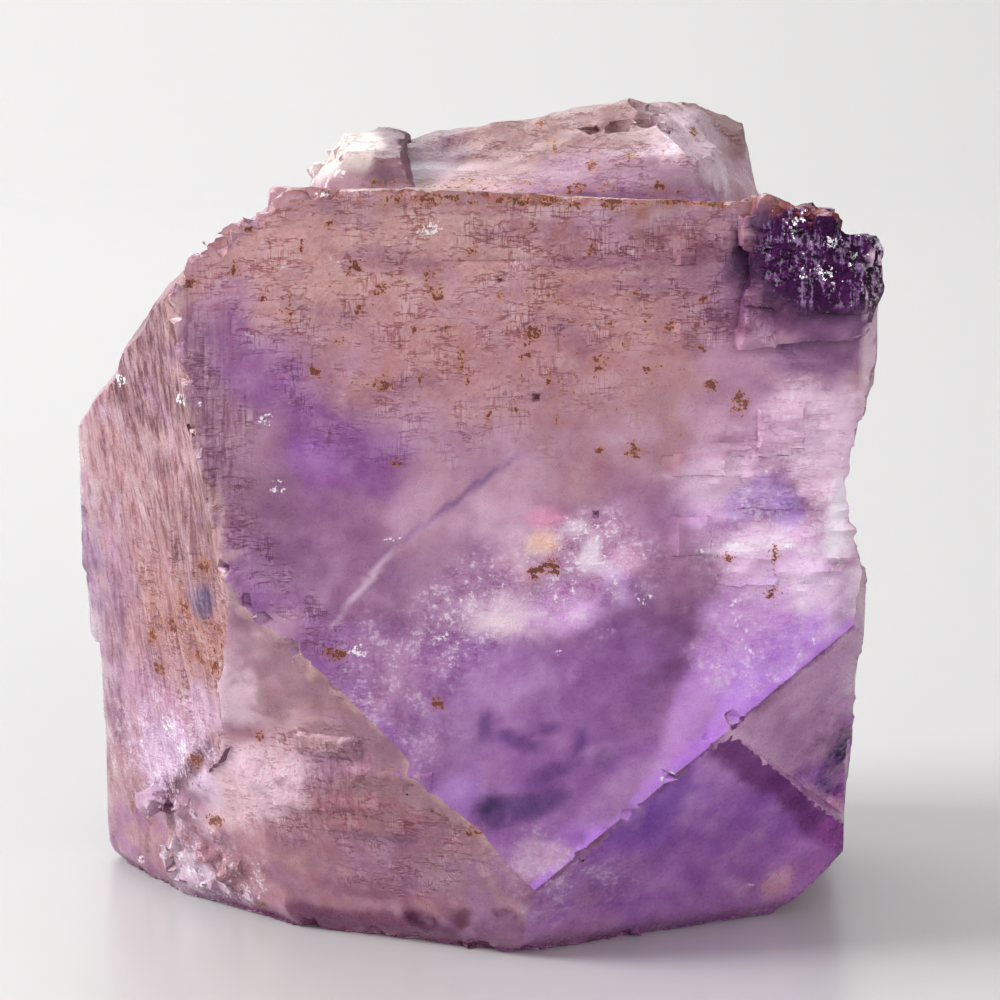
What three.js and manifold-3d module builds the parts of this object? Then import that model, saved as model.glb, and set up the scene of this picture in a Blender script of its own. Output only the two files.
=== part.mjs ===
// A rough fluorite cube in millimetres, +Z up. Its front cube face looks along -Y, and it rests on a flat
// cleavage at Z = 0. Two front corners are cleaved off, a second cube has grown through the back of the
// first, and a lump of colourless fluorite sits beside it. All of it grew together, so it is one solid.
import * as THREE from "three";
import { mergeVertices } from "three/addons/utils/BufferGeometryUtils.js";
import Module from "manifold-3d";

const wasm = await Module();
wasm.setup();

// Driving dimensions: how far the stone reaches from the middle of its base.
const LEFT = -26.8;
const RIGHT = 24;
const FRONT = -20;
const BACK = 20.8;
const SHOULDER = 49; // height of the front face's top edge
const CREST = 53.2; // height of the second cube, which is the highest point

const BLANK = 76; // side of the block that a crystal is cleaved from
const CUTTER = 120; // side of the block that cleaves a facet
const STRAY = 0.32; // how far a patch's corner strays across the face, as a share of the patch
const ROOT = 1.6; // how deep a growth plate reaches into the stone
const LEAN = 0.03; // how far a growth plate leans or turns, in radians
const WELD = 1e-3; // corners closer than this are one corner
const SMALLEST_DETAIL = 0.04;

// Each kind of feature draws from numbered streams of its own, which start here.
const SEEDS = { crystals: 100, plates: 500, steps: 600, crumbs: 700, chips: 800, pits: 900 };

// The grain of a surface: its patches' width and height, and how far their corners stand in or out.
const BANDED = { patch: [12, 3.4], relief: 0.1 };
const STRIATED = { patch: [1.8, 12], relief: 0.4 };
const SMOOTH = { patch: [9, 8], relief: 0.08 };
const RIPPLED = { patch: [10, 3], relief: 0.22 };
const BROKEN = { patch: [4.4, 3.8], relief: 0.5 };
const CRUMBLED = { patch: [2.8, 2.4], relief: 0.4 };

// A repeatable stream of numbers from 0 to 1.
function seededNumbers(seed) {
  let state = seed;
  return () => {
    state = (state + 0x6d2b79f5) | 0;
    let mixed = Math.imul(state ^ (state >>> 15), 1 | state);
    mixed = (mixed + Math.imul(mixed ^ (mixed >>> 7), 61 | mixed)) ^ mixed;
    return ((mixed ^ (mixed >>> 14)) >>> 0) / 4294967296;
  };
}

const between = (random, [low, high]) => low + (high - low) * random();
const either = (random, spread) => (random() - 0.5) * 2 * spread;
const vector = (point) => new THREE.Vector3(...point);

// A closed geometry as a solid that can be joined and cut.
function solidOf(geometry) {
  const bare = geometry.index ? geometry.toNonIndexed() : geometry.clone();
  bare.deleteAttribute("normal");
  bare.deleteAttribute("uv");
  const merged = mergeVertices(bare, WELD);
  return new wasm.Manifold(
    new wasm.Mesh({
      numProp: 3,
      vertProperties: new Float32Array(merged.attributes.position.array),
      triVerts: new Uint32Array(merged.index.array),
    }),
  );
}

// The solid's faces, flat shaded.
function geometryOf(solid) {
  const { vertProperties, triVerts, numProp } = solid.getMesh();
  const positions = new Float32Array(triVerts.length * 3);
  triVerts.forEach((vertex, corner) => {
    for (let axis = 0; axis < 3; axis++) {
      positions[corner * 3 + axis] = vertProperties[vertex * numProp + axis];
    }
  });
  const geometry = new THREE.BufferGeometry();
  geometry.setAttribute("position", new THREE.BufferAttribute(positions, 3));
  geometry.computeVertexNormals();
  return geometry;
}

// A face's own frame: its x runs across the face, its y runs up it, and its z points out of the stone.
function faceFrame({ through, facing }, sunk = 0) {
  const out = vector(facing).normalize();
  const upwards = Math.abs(out.z) > 0.9 ? new THREE.Vector3(0, 1, 0) : new THREE.Vector3(0, 0, 1);
  const across = upwards.cross(out).normalize();
  const up = out.clone().cross(across);
  const origin = vector(through).addScaledVector(out, -sunk);
  return new THREE.Matrix4().makeBasis(across, up, out).setPosition(origin);
}

// A block whose underside carries a grain, which it leaves on the stone that it is cut from.
function grainedBlock({ patch, relief }, seed) {
  const random = seededNumbers(seed);
  const [columns, rows] = patch.map((size) => Math.round(CUTTER / size));
  const block = new THREE.BoxGeometry(CUTTER, CUTTER, CUTTER, columns, rows, 1);
  const corners = block.attributes.position;
  const rim = CUTTER / 2 - WELD;
  for (let index = 0; index < corners.count; index++) {
    const [x, y, z] = [corners.getX(index), corners.getY(index), corners.getZ(index)];
    if (z < 0 && Math.abs(x) < rim && Math.abs(y) < rim) {
      const strayX = either(random, patch[0] * STRAY);
      const strayY = either(random, patch[1] * STRAY);
      corners.setXYZ(index, x + strayX, y + strayY, z + either(random, relief));
    }
  }
  return block.translate(0, 0, CUTTER / 2);
}

// Everything on the outer side of a facet.
function outside(facet, seed, sunk = 0) {
  return solidOf(grainedBlock(facet.grain, seed).applyMatrix4(faceFrame(facet, sunk)));
}

// A convex crystal: a block with the material outside each facet cleaved away.
function crystal(facets, seed) {
  const blank = solidOf(new THREE.BoxGeometry(BLANK, BLANK, BLANK).translate(0, 0, CREST / 2));
  return Object.values(facets).reduce(
    (solid, facet, index) => solid.subtract(outside(facet, seed + index)),
    blank,
  );
}

// A cleavage step: what lies outside both the floor and the riser is broken away.
function stepped(solid, { floor, drop, riser }, seed) {
  return solid.subtract(outside(floor, seed, drop).intersect(outside(riser, seed + 1)));
}

// ---- The main cube ----

const LOWER_RIGHT_EDGE = [15.2, -20.44, 15.3]; // where the two cleavages below the front face meet its edge

const cube = {
  front: { through: [0, FRONT, 30], facing: [0.01, -1, 0.04], grain: BANDED },
  leftBevel: { through: [-18.5, -19.7, 34], facing: [-0.86, -0.48, -0.16], grain: STRIATED },
  left: { through: [LEFT, -4, 26], facing: [-1, -0.02, 0.02], grain: STRIATED },
  upperLeft: { through: [-16.5, -19, 46.5], facing: [-0.6, 0.2, 0.77], grain: BROKEN },
  shoulderLeft: { through: [-22.1, -14, 39.3], facing: [-0.8, 0.06, 0.6], grain: BROKEN },
  top: { through: [0, -19.1, SHOULDER], facing: [0.03, 0.22, 0.97], grain: RIPPLED },
  right: { through: [RIGHT, -5, 15], facing: [1, -0.03, -0.02], grain: BROKEN },
  back: { through: [0, BACK - 0.8, 24], facing: [0.05, 1, 0.03], grain: RIPPLED },
  lowerLeftCorner: { through: [-11.7, -20.3, 19.7], facing: [-0.38, -0.86, -0.35], grain: RIPPLED },
  lowerRightCorner: { through: LOWER_RIGHT_EDGE, facing: [0.43, -0.77, -0.47], grain: SMOOTH },
  rightBevel: { through: [RIGHT - 0.6, -18, 14], facing: [0.86, -0.5, -0.1], grain: SMOOTH },
  footLeft: { through: [-24.4, -5, 3.3], facing: [-0.75, -0.3, -0.6], grain: CRUMBLED },
  footRight: { through: [22.9, -5, 3], facing: [0.72, -0.12, -0.69], grain: SMOOTH },
  backUpperLeft: { through: [-17.5, 15, 37], facing: [-0.6, 0.55, 0.58], grain: RIPPLED },
  backUpperRight: { through: [19, 15.5, 38], facing: [0.58, 0.5, 0.65], grain: SMOOTH },
  backLowerRight: { through: [19.8, 17.8, 10], facing: [0.62, 0.66, -0.42], grain: RIPPLED },
  backLowerLeft: { through: [-20, 17.4, 8.6], facing: [-0.6, 0.68, -0.42], grain: BROKEN },
};

// ---- What has grown together with it ----

// The second cube stands up behind the top edge, and its own corner shows at the back.
const secondCube = {
  front: { through: [2, -12.4, 48], facing: [-0.1, -0.8, 0.6], grain: BROKEN },
  crestFront: { through: [8.6, -7.2, CREST - 1], facing: [-0.2, -0.45, 0.87], grain: BROKEN },
  top: { through: [8.6, -2, CREST - 0.2], facing: [-0.17, 0.16, 0.97], grain: BROKEN },
  crestRight: { through: [11.6, -5, 52.3], facing: [0.42, -0.1, 0.9], grain: BROKEN },
  right: { through: [14.8, -8, 49.2], facing: [0.93, -0.22, 0.3], grain: CRUMBLED },
  left: { through: [-5.8, -6, 49.4], facing: [-0.72, -0.35, 0.6], grain: BROKEN },
  farLeft: { through: [-9, 0, 44], facing: [-0.96, 0.24, 0.12], grain: RIPPLED },
  frontFoot: { through: [0, -12.6, 46], facing: [0, -1, 0], grain: SMOOTH },
  rightFoot: { through: [18.4, 0, 44], facing: [1, 0.1, 0], grain: RIPPLED },
  back: { through: [6, BACK + 0.9, 30], facing: [0.08, 0.99, 0.06], grain: RIPPLED },
  backTop: { through: [6, 14.5, 46.5], facing: [0.1, 0.66, 0.74], grain: RIPPLED },
  bottom: { through: [6, 16, 12], facing: [-0.16, -0.5, -0.86], grain: SMOOTH },
};

// A lump of colourless fluorite at the left end of the crest.
const paleLump = {
  front: { through: [-8.4, -9.8, 49], facing: [-0.1, -0.93, 0.35], grain: CRUMBLED },
  top: { through: [-8, -5.5, 51], facing: [0.06, -0.12, 0.99], grain: CRUMBLED },
  topLeft: { through: [-9.8, -6, 50.2], facing: [-0.72, -0.2, 0.66], grain: CRUMBLED },
  left: { through: [-11.2, -5, 48], facing: [-0.94, -0.15, 0.3], grain: CRUMBLED },
  right: { through: [-4.6, -5, 49], facing: [0.9, -0.1, 0.42], grain: CRUMBLED },
  back: { through: [-8, 0.4, 48], facing: [-0.1, 0.9, 0.42], grain: CRUMBLED },
  bottom: { through: [-8, -5, 40], facing: [0, 0, -1], grain: SMOOTH },
};

// The upper right corner carries a crust of small dark cubes.
const darkCorner = {
  front: { through: [20.5, FRONT - 0.45, 45], facing: [0.03, -1, 0.05], grain: CRUMBLED },
  left: { through: [16.3, FRONT, 45], facing: [-0.98, -0.1, 0.1], grain: CRUMBLED },
  top: { through: [20.5, -18, 47.8], facing: [0.16, 0.2, 0.96], grain: CRUMBLED },
  topRight: { through: [23.4, -17, 46.7], facing: [0.68, 0, 0.73], grain: CRUMBLED },
  right: { through: [24.4, -16, 44.4], facing: [0.99, 0.05, 0.05], grain: CRUMBLED },
  lowerRight: { through: [24.3, -16, 42], facing: [0.9, 0.02, -0.43], grain: CRUMBLED },
  bottom: { through: [20.5, -18, 40.8], facing: [0.1, 0.3, -0.95], grain: CRUMBLED },
  frontRight: { through: [24.5, FRONT + 0.3, 44], facing: [0.72, -0.69, 0.02], grain: CRUMBLED },
  back: { through: [22, -6, 44], facing: [0.1, 1, 0], grain: CRUMBLED },
};

function grownTogether() {
  const crystals = [cube, secondCube, paleLump, darkCorner];
  return wasm.Manifold.union(crystals.map((facets, index) => crystal(facets, SEEDS.crystals * (index + 1))));
}

// ---- Steps where a layer has cleaved away ----

const sunkenCorner = { through: [-19.3, -9.9, 8.6], facing: [-0.66, -0.66, -0.36], grain: RIPPLED };

const cleavageSteps = [
  // The lower right corner has a second, steeper cleavage, which starts from the same edge.
  {
    floor: { through: LOWER_RIGHT_EDGE, facing: [0.49, -0.67, -0.55], grain: SMOOTH },
    drop: 0,
    riser: { through: LOWER_RIGHT_EDGE, facing: [0.73, -0.01, 0.68], grain: SMOOTH },
  },
  // The lower left corner is sunk below the striated side.
  {
    floor: sunkenCorner,
    drop: 0,
    riser: { through: [-18.1, -14.5, 11.6], facing: [0.39, -0.43, -0.81], grain: RIPPLED },
  },
  // The left side is narrower at the foot and at the back.
  {
    floor: cube.left,
    drop: 0.9,
    riser: { through: [LEFT, -4, 15.6], facing: [-0.1, 0.2, -0.97], grain: BROKEN },
  },
  {
    floor: cube.left,
    drop: 2,
    riser: { through: [LEFT, 5, 33], facing: [-0.1, 0.6, 0.79], grain: BROKEN },
  },
  {
    floor: cube.back,
    drop: 1.5,
    riser: { through: [-4, BACK, 22], facing: [-0.8, 0.1, 0.6], grain: BROKEN },
  },
  {
    floor: cube.back,
    drop: 2.8,
    riser: { through: [-9, BACK, 31], facing: [-0.6, 0.1, 0.79], grain: BROKEN },
  },
  {
    floor: cube.right,
    drop: 1.3,
    riser: { through: [RIGHT, 4, 20], facing: [0.1, 0.75, 0.66], grain: BROKEN },
  },
  {
    floor: cube.right,
    drop: 2.6,
    riser: { through: [RIGHT, 7, 33], facing: [0.1, 0.45, 0.89], grain: BROKEN },
  },
  {
    floor: cube.top,
    drop: 1.4,
    riser: { through: [-14, -6, 47], facing: [-0.75, 0.65, 0.1], grain: BROKEN },
  },
  {
    floor: secondCube.top,
    drop: 1.2,
    riser: { through: [6, 3, CREST], facing: [-0.4, 0.9, 0.1], grain: BROKEN },
  },
];

// ---- Curved hollows where flakes broke away ----

const hollows = [
  { at: [48.2, -8, 30.5], radii: [26.4, 60, 16.5] }, // waist of the right side
  { at: [21.6, -2, 57.4], radii: [9, 10, 11.5] }, // behind the dark corner
  { at: [-20, 34, 20], radii: [19, 17, 15] }, // back left edge
];

function withHollows(solid) {
  return hollows.reduce((rest, { at, radii }) => {
    const flake = new THREE.IcosahedronGeometry(1, 4).scale(...radii).translate(...at);
    return rest.subtract(solidOf(flake));
  }, solid);
}

// ---- Growth plates: thin rectangles that stand proud of a face and run parallel to its edges ----

const plateFields = [
  { face: cube.front, count: 15, u: [-13, 14], v: [8, 18], size: [5, 11, 1, 2.4], rise: [0.15, 0.4] },
  { face: cube.front, count: 7, u: [10, 19], v: [-7, 7], size: [2.4, 6, 1.2, 3], rise: [0.15, 0.45] },
  { face: cube.front, count: 3, u: [-16, -9], v: [0, 10], size: [1, 2, 4, 7], rise: [0.15, 0.35] },
  { face: darkCorner.front, count: 14, u: [-3.6, 3], v: [-3, 2], size: [1.4, 3.2, 1.2, 2.6], rise: [0.2, 0.6] },
  { face: darkCorner.right, count: 3, u: [-2, 3], v: [-1.5, 1], size: [1.6, 2.8, 1, 2], rise: [0.2, 0.4] },
  { face: darkCorner.top, count: 4, u: [-3, 2], v: [-1, 4], size: [2, 5, 0.8, 1.6], rise: [0.2, 0.4] },
  { face: cube.lowerLeftCorner, count: 5, u: [-3, 6], v: [-14, -5], size: [3, 6, 0.8, 1.6], rise: [0.15, 0.3] },
  { face: cube.left, count: 4, u: [-12, 0], v: [-8, 4], size: [1.2, 2.6, 4, 9], rise: [0.2, 0.4] },
  { face: cube.back, count: 7, u: [-14, 14], v: [-15, 4], size: [4, 10, 2, 5], rise: [0.2, 0.6] },
  { face: cube.top, count: 4, u: [-10, 10], v: [1, 4], size: [4, 8, 0.9, 2], rise: [0.2, 0.4] },
];

function plates({ face, count, u, v, size: [narrow, wide, low, high], rise }, field) {
  const random = seededNumbers(SEEDS.plates + field);
  return Array.from({ length: count }, () => {
    const thickness = between(random, rise) + ROOT;
    const across = between(random, [narrow, wide]);
    const up = between(random, [low, high]);
    const lean = new THREE.Euler(either(random, LEAN), either(random, LEAN), either(random, LEAN));
    const place = new THREE.Matrix4()
      .makeRotationFromEuler(lean)
      .setPosition(between(random, u), between(random, v), thickness / 2 - ROOT);
    const plate = new THREE.BoxGeometry(across, up, thickness);
    return solidOf(plate.applyMatrix4(place).applyMatrix4(faceFrame(face)));
  });
}

// ---- Crumbs: small tilted fragments half sunk in the stone ----

const crumbFields = [
  { face: cube.footLeft, count: 8, u: [-3, 5], v: [-1, 4], side: [1.1, 2] },
  { face: sunkenCorner, count: 16, u: [-6, 3], v: [-8, -1.5], side: [1, 2] },
  { face: paleLump.topLeft, count: 6, u: [-2.4, 2.4], v: [-2, 0.4], side: [1, 1.8] },
  { face: secondCube.crestRight, count: 5, u: [-2.5, 2.5], v: [-3, 2], side: [1, 2] },
  { face: secondCube.right, count: 4, u: [-3, 3], v: [-0.5, 2], side: [0.9, 1.7] },
  { face: cube.backLowerLeft, count: 7, u: [-4, 5], v: [-5, 4], side: [1.6, 3.2] },
];

function crumbs({ face, count, u, v, side }, field) {
  const random = seededNumbers(SEEDS.crumbs + field);
  return Array.from({ length: count }, () => {
    const size = between(random, side);
    const crumb = new THREE.BoxGeometry(size, size * between(random, [0.6, 1]), size);
    crumb.rotateX(either(random, 0.4)).rotateY(either(random, 0.4)).rotateZ(either(random, 0.7));
    crumb.translate(between(random, u), between(random, v), -size * between(random, [0.12, 0.42]));
    return solidOf(crumb.applyMatrix4(faceFrame(face)));
  });
}

// ---- Chips: small bites along the sharp edges ----

const chippedEdges = [
  { from: [-16.9, -20.2, 26], to: [-0.5, -20.6, 6], count: 14, radius: [0.4, 1] },
  { from: [-20, -19.6, 43], to: [-16.9, -20.2, 26], count: 7, radius: [0.4, 1] },
  { from: [22.4, -20.3, 22.6], to: [5, -20.7, 6.4], count: 9, radius: [0.3, 0.7] },
  { from: [-12, -19.2, 49.2], to: [16, -19.2, 48.6], count: 11, radius: [0.4, 1] },
  { from: [-20, -19, 42.9], to: [-12.6, -19, 48.9], count: 7, radius: [0.6, 1.3] },
  { from: [2, -18.6, 0.2], to: [-19, -9, 0.2], count: 8, radius: [0.5, 1.2] },
  { from: [2, -18.4, 0.2], to: [19, -9.8, 0.2], count: 6, radius: [0.4, 1] },
  { from: [-5, -8.4, 50.6], to: [12, -7, 52.4], count: 7, radius: [0.5, 1.2] },
  { from: [23.6, -14, 38], to: [23.9, -14, 6], count: 5, radius: [0.5, 1.1] },
  { from: [-26.3, -6.4, 34], to: [-26, -6.4, 7], count: 5, radius: [0.5, 1.1] },
  { from: [21.6, 18.6, 8], to: [20, 18.4, 32], count: 5, radius: [0.6, 1.5] },
];

function chips({ from, to, count, radius }, edge) {
  const random = seededNumbers(SEEDS.chips + edge);
  return Array.from({ length: count }, (_, index) => {
    const centre = vector(from).lerp(vector(to), (index + random()) / count);
    const chip = new THREE.OctahedronGeometry(between(random, radius), 0)
      .scale(1, 1, between(random, [0.5, 1]))
      .rotateX(either(random, Math.PI))
      .rotateZ(either(random, Math.PI))
      .translate(...centre);
    return solidOf(chip);
  });
}

// ---- Pits: square etch pits sunk into the cube faces ----

const pitFields = [
  { face: cube.front, count: 13, u: [-15, 18], v: [-8, 17], radius: [0.4, 0.8] },
  { face: cube.left, count: 5, u: [-12, 4], v: [-14, 8], radius: [0.6, 1.2] },
  { face: cube.back, count: 8, u: [-14, 16], v: [-14, 14], radius: [0.6, 1.5] },
  { face: cube.right, count: 6, u: [-4, 14], v: [-8, 12], radius: [0.6, 1.3] },
];

function pits({ face, count, u, v, radius }, field) {
  const random = seededNumbers(SEEDS.pits + field);
  return Array.from({ length: count }, () => {
    const across = between(random, radius);
    const pit = new THREE.ConeGeometry(across, across * 2, 4)
      .rotateX(-Math.PI / 2)
      .rotateZ(Math.PI / 4 + either(random, 0.06))
      .translate(between(random, u), between(random, v), 0);
    return solidOf(pit.applyMatrix4(faceFrame(face)));
  });
}

// ---- The whole stone ----

function largestPiece(solid) {
  return solid.decompose().reduce((best, piece) => (piece.volume() > best.volume() ? piece : best));
}

function stone() {
  const raised = wasm.Manifold.union([...plateFields.flatMap(plates), ...crumbFields.flatMap(crumbs)]);
  const sunk = wasm.Manifold.union([...chippedEdges.flatMap(chips), ...pitFields.flatMap(pits)]);
  const cleaved = cleavageSteps.reduce(
    (solid, step, index) => stepped(solid, step, SEEDS.steps + 2 * index),
    grownTogether(),
  );
  const worn = withHollows(cleaved.add(raised)).subtract(sunk);
  const ground = solidOf(new THREE.BoxGeometry(CUTTER, CUTTER, CUTTER).translate(0, 0, -CUTTER / 2));
  return largestPiece(worn.subtract(ground)).asOriginal().simplify(SMALLEST_DETAIL);
}

// The origin is under the middle of the stone's box, on the surface that it rests on.
function centred(geometry) {
  geometry.computeBoundingBox();
  const middle = geometry.boundingBox.getCenter(new THREE.Vector3());
  return geometry.translate(-middle.x, -middle.y, -geometry.boundingBox.min.z);
}

// Corners that lie almost together become one, and any crumb that this frees is dropped.
function welded(geometry) {
  return geometryOf(largestPiece(solidOf(geometry)));
}

const fluorite = new THREE.MeshStandardMaterial({
  color: new THREE.Color("#a07a98"),
  roughness: 0.4,
  metalness: 0,
  transparent: true,
  opacity: 0.9,
});

const crystalMesh = new THREE.Mesh(welded(centred(geometryOf(stone()))), fluorite);
crystalMesh.name = "fluorite_crystal";

const part = new THREE.Group();
part.add(crystalMesh);

export default part;
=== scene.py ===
import math
import random

import bmesh
import bpy
import numpy as np
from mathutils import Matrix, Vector, noise


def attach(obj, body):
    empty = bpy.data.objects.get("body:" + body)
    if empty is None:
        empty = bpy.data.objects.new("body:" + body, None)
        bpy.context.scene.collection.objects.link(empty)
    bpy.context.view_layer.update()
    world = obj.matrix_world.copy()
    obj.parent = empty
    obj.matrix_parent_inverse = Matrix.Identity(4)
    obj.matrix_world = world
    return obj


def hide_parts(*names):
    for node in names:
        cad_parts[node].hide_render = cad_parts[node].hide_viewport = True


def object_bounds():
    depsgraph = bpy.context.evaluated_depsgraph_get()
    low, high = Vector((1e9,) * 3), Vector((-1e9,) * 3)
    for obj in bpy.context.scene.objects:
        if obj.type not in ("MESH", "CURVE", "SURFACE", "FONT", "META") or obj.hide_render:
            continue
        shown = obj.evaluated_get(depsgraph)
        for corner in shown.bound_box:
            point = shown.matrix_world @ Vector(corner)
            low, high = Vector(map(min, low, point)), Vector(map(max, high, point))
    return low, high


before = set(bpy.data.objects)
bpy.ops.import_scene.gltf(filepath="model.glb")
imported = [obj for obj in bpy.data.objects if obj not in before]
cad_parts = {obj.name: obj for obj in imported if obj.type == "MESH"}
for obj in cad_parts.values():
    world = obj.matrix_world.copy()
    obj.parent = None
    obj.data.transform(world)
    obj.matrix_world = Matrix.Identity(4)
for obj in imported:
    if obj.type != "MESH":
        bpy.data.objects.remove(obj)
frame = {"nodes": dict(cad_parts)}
cadLow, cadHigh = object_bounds()
mm = 0.001
noise.seed_set(12)  # without it the borders wander differently each run
print("frame loaded:", ", ".join(frame["nodes"]))


def linear(colour):
    # 0-255 colour as given, to the linear values that the sockets take
    values = [c / 255 for c in colour]
    return [v / 12.92 if v <= 0.04045 else ((v + 0.055) / 1.055) ** 2.4 for v in values] + [1.0]


class Wire:
    # one socket of a node tree; sums on it add Math nodes
    def __init__(self, tree, socket=None):
        self.tree = tree
        self.socket = socket

    def node(self, kind, settings=None, inputs=None, output=0):
        # any other node: its settings first, then a value or a wire for each socket
        made = self.tree.nodes.new(kind)
        for name, value in (settings or {}).items():
            setattr(made, name, value)
        for name, value in (inputs or {}).items():
            if isinstance(value, Wire):
                self.tree.links.new(value.socket, made.inputs[name])
            else:
                made.inputs[name].default_value = value
        return Wire(self.tree, made.outputs[output] if made.outputs else None)

    def maths(self, operation, first, second=0.0):
        return self.node("ShaderNodeMath", {"operation": operation}, {0: first, 1: second})

    def __add__(self, other):
        return self.maths("ADD", self, other)

    def __radd__(self, other):
        return self.maths("ADD", other, self)

    def __sub__(self, other):
        return self.maths("SUBTRACT", self, other)

    def __rsub__(self, other):
        return self.maths("SUBTRACT", other, self)

    def __mul__(self, other):
        return self.maths("MULTIPLY", self, other)

    def __rmul__(self, other):
        return self.maths("MULTIPLY", other, self)

    def __abs__(self):
        return self.maths("ABSOLUTE", self)

    def between(self, low, high, start=0.0, end=1.0):
        # smooth step from start at low to end at high
        return self.node(
            "ShaderNodeMapRange",
            {"interpolation_type": "SMOOTHSTEP", "clamp": True},
            {"Value": self, "From Min": low, "From Max": high, "To Min": start, "To Max": end},
        )

    def also(self, output):
        # another outlet of the same node
        return Wire(self.tree, self.socket.node.outputs[output])


def laidOver(under, top, share):
    # one colour laid over another, each a wire or a fixed colour
    return share.node("ShaderNodeMix", {"data_type": "RGBA"}, {0: share, 6: under, 7: top}, 2)


def newFinish(name):
    material = bpy.data.materials.new(name)
    material.use_nodes = True
    material.node_tree.nodes.clear()
    return material, Wire(material.node_tree)


# camera, floor and light; the camera is set in mm and degrees, the paper and the lamps in metres
stageSet = {
    "lookAt": (2.21, -21.32, 29.9),  # middle of the front face
    "distance": 253.6,
    "elevation": 10.0,
    "halfView": 7.0,
    "floorColour": (171, 170, 170),
    "floorRoughness": 0.26,
    "floorShine": 0.5,
    "floorDrop": 0.05,  # mm, so that the base doesn't share a plane with the paper
    "paperFront": -0.9,
    "paperBend": 0.45,  # where the paper starts to curve up
    "paperRadius": 0.35,
    "paperSteps": 24,
    "paperTop": 1.2,
    "paperHalfWidth": 1.5,
    "worldStrength": 0.8,
    "lampsAimAt": (0, 0, 0.025),
}

# each softbox: place, width and height, watts
softboxes = {
    "keyLeft": ((-0.88, -0.1, 0.54), (0.54, 0.54), 19.0),
    "backGlow": ((-0.14, 0.5, 0.5), (0.5, 0.4), 3.0),
    "fillFront": ((0.3, -0.7, 0.3), (0.5, 0.4), 2.4),
}


def addObject(name, data):
    made = bpy.data.objects.new(name, data)
    bpy.context.scene.collection.objects.link(made)
    return made


def addCamera():
    tilt = math.radians(stageSet["elevation"])
    forward = Vector((0, math.cos(tilt), -math.sin(tilt)))
    data = bpy.data.cameras.new("stoneCamera")
    data.sensor_width = 36
    data.lens = data.sensor_width / 2 / math.tan(math.radians(stageSet["halfView"]))
    data.clip_start = 0.01
    camera = addObject("stoneCamera", data)
    camera.location = (Vector(stageSet["lookAt"]) - stageSet["distance"] * forward) * mm
    camera.rotation_euler = (math.pi / 2 - tilt, 0, 0)
    bpy.context.scene.camera = camera


def addSoftbox(name, place, size, power):
    data = bpy.data.lights.new(name, "AREA")
    data.shape = "RECTANGLE"
    data.size, data.size_y = size
    data.energy = power
    lamp = addObject(name, data)
    lamp.location = place
    lamp.rotation_mode = "QUATERNION"
    aim = Vector(stageSet["lampsAimAt"]) - lamp.location
    lamp.rotation_quaternion = aim.to_track_quat("-Z", "Y")


def addFloor():
    # flat in front, with a wide curve up behind
    low = -stageSet["floorDrop"] * mm
    bend, radius, steps = stageSet["paperBend"], stageSet["paperRadius"], stageSet["paperSteps"]
    profile = [(stageSet["paperFront"], low), (-0.3, low), (0.0, low), (bend, low)]
    for step in range(1, steps + 1):
        turn = math.pi / 2 * step / steps
        profile.append((bend + radius * math.sin(turn), low + radius * (1 - math.cos(turn))))
    profile.append((bend + radius, stageSet["paperTop"]))
    half = stageSet["paperHalfWidth"]
    points = [(x, y, z) for y, z in profile for x in (-half, half)]
    faces = [(i, i + 1, i + 3, i + 2) for i in range(0, len(points) - 2, 2)]
    mesh = bpy.data.meshes.new("paleSweep")
    mesh.from_pydata(points, [], faces)
    mesh.shade_smooth()
    floor = addObject("paleSweep", mesh)
    material, start = newFinish("palePaper")
    paper = {
        "Base Color": linear(stageSet["floorColour"]),
        "Roughness": stageSet["floorRoughness"],
        "Specular IOR Level": stageSet["floorShine"],
    }
    surface = start.node("ShaderNodeBsdfPrincipled", None, paper)
    start.node("ShaderNodeOutputMaterial", None, {"Surface": surface})
    mesh.materials.append(material)


def addWorld():
    world = bpy.data.worlds.new("whiteTent")
    world.use_nodes = True
    world.node_tree.nodes.clear()
    start = Wire(world.node_tree)
    light = {"Color": (1, 1, 1, 1), "Strength": stageSet["worldStrength"]}
    tent = start.node("ShaderNodeBackground", None, light)
    start.node("ShaderNodeOutputWorld", None, {"Surface": tent})
    bpy.context.scene.world = world


bpy.context.scene.view_settings.view_transform = "Standard"
addCamera()
addFloor()
addWorld()
for name, (place, size, power) in softboxes.items():
    addSoftbox(name, place, size, power)
print("camera, floor and light are set")


# how the stone's skin is worked; heights and spans in mm
relief = {
    "octreeDepth": 7,
    "gridScale": 0.99,
    "wobble": 0.9,  # how far the patterns below wander
    "wobbleSpan": 3.5,
    "swell": 0.10,  # slow waviness of the faces
    "swellSpan": 6.5,
    "mosaic": 0.05,  # low growth plates
    "mosaicStep": 0.35,
    "mosaicCell": (1.7, 1.7, 0.8),
    "mosaicWave": (2.1, 2.1, 1.0),
    "mosaicSpan": 5.0,
    "ribs": 0.10,  # upright, on the left and right faces
    "ribWave": (0.9, 0.9, 9.0),
    "cubelets": 0.2,
    "crinkles": 0.34,
    "crinkleWave": (2.6, 2.6, 0.9),
    "streaks": 0.28,
    "streakWave": (0.7, 0.7, 3.0),
    "lumps": 0.22,
    "lumpSpan": 2.2,
    "plateSoftening": 0.9,  # share by which the shallow steps on the front face are worn down
    "plateHeight": 0.6,
    "plateMargin": 0.9,  # kept clear of the edges of the front face
    "plateEnd": 13,  # right of this the steps stay
    "chipStart": 0.03,  # edges that stand out more than this are worn a little
    "chipLimit": 0.12,
    "footHeight": 1.3,  # the worn edge where the stone meets the floor
    "footTuck": 1.2,
    "spikeLimit": 0.13,  # sharper points are blunted
    "spikeBlunting": 0.6,
    "baseGuard": 0.4,  # height above the floor at which relief is full
    "sharpEdge": 38,  # degrees
}


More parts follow.
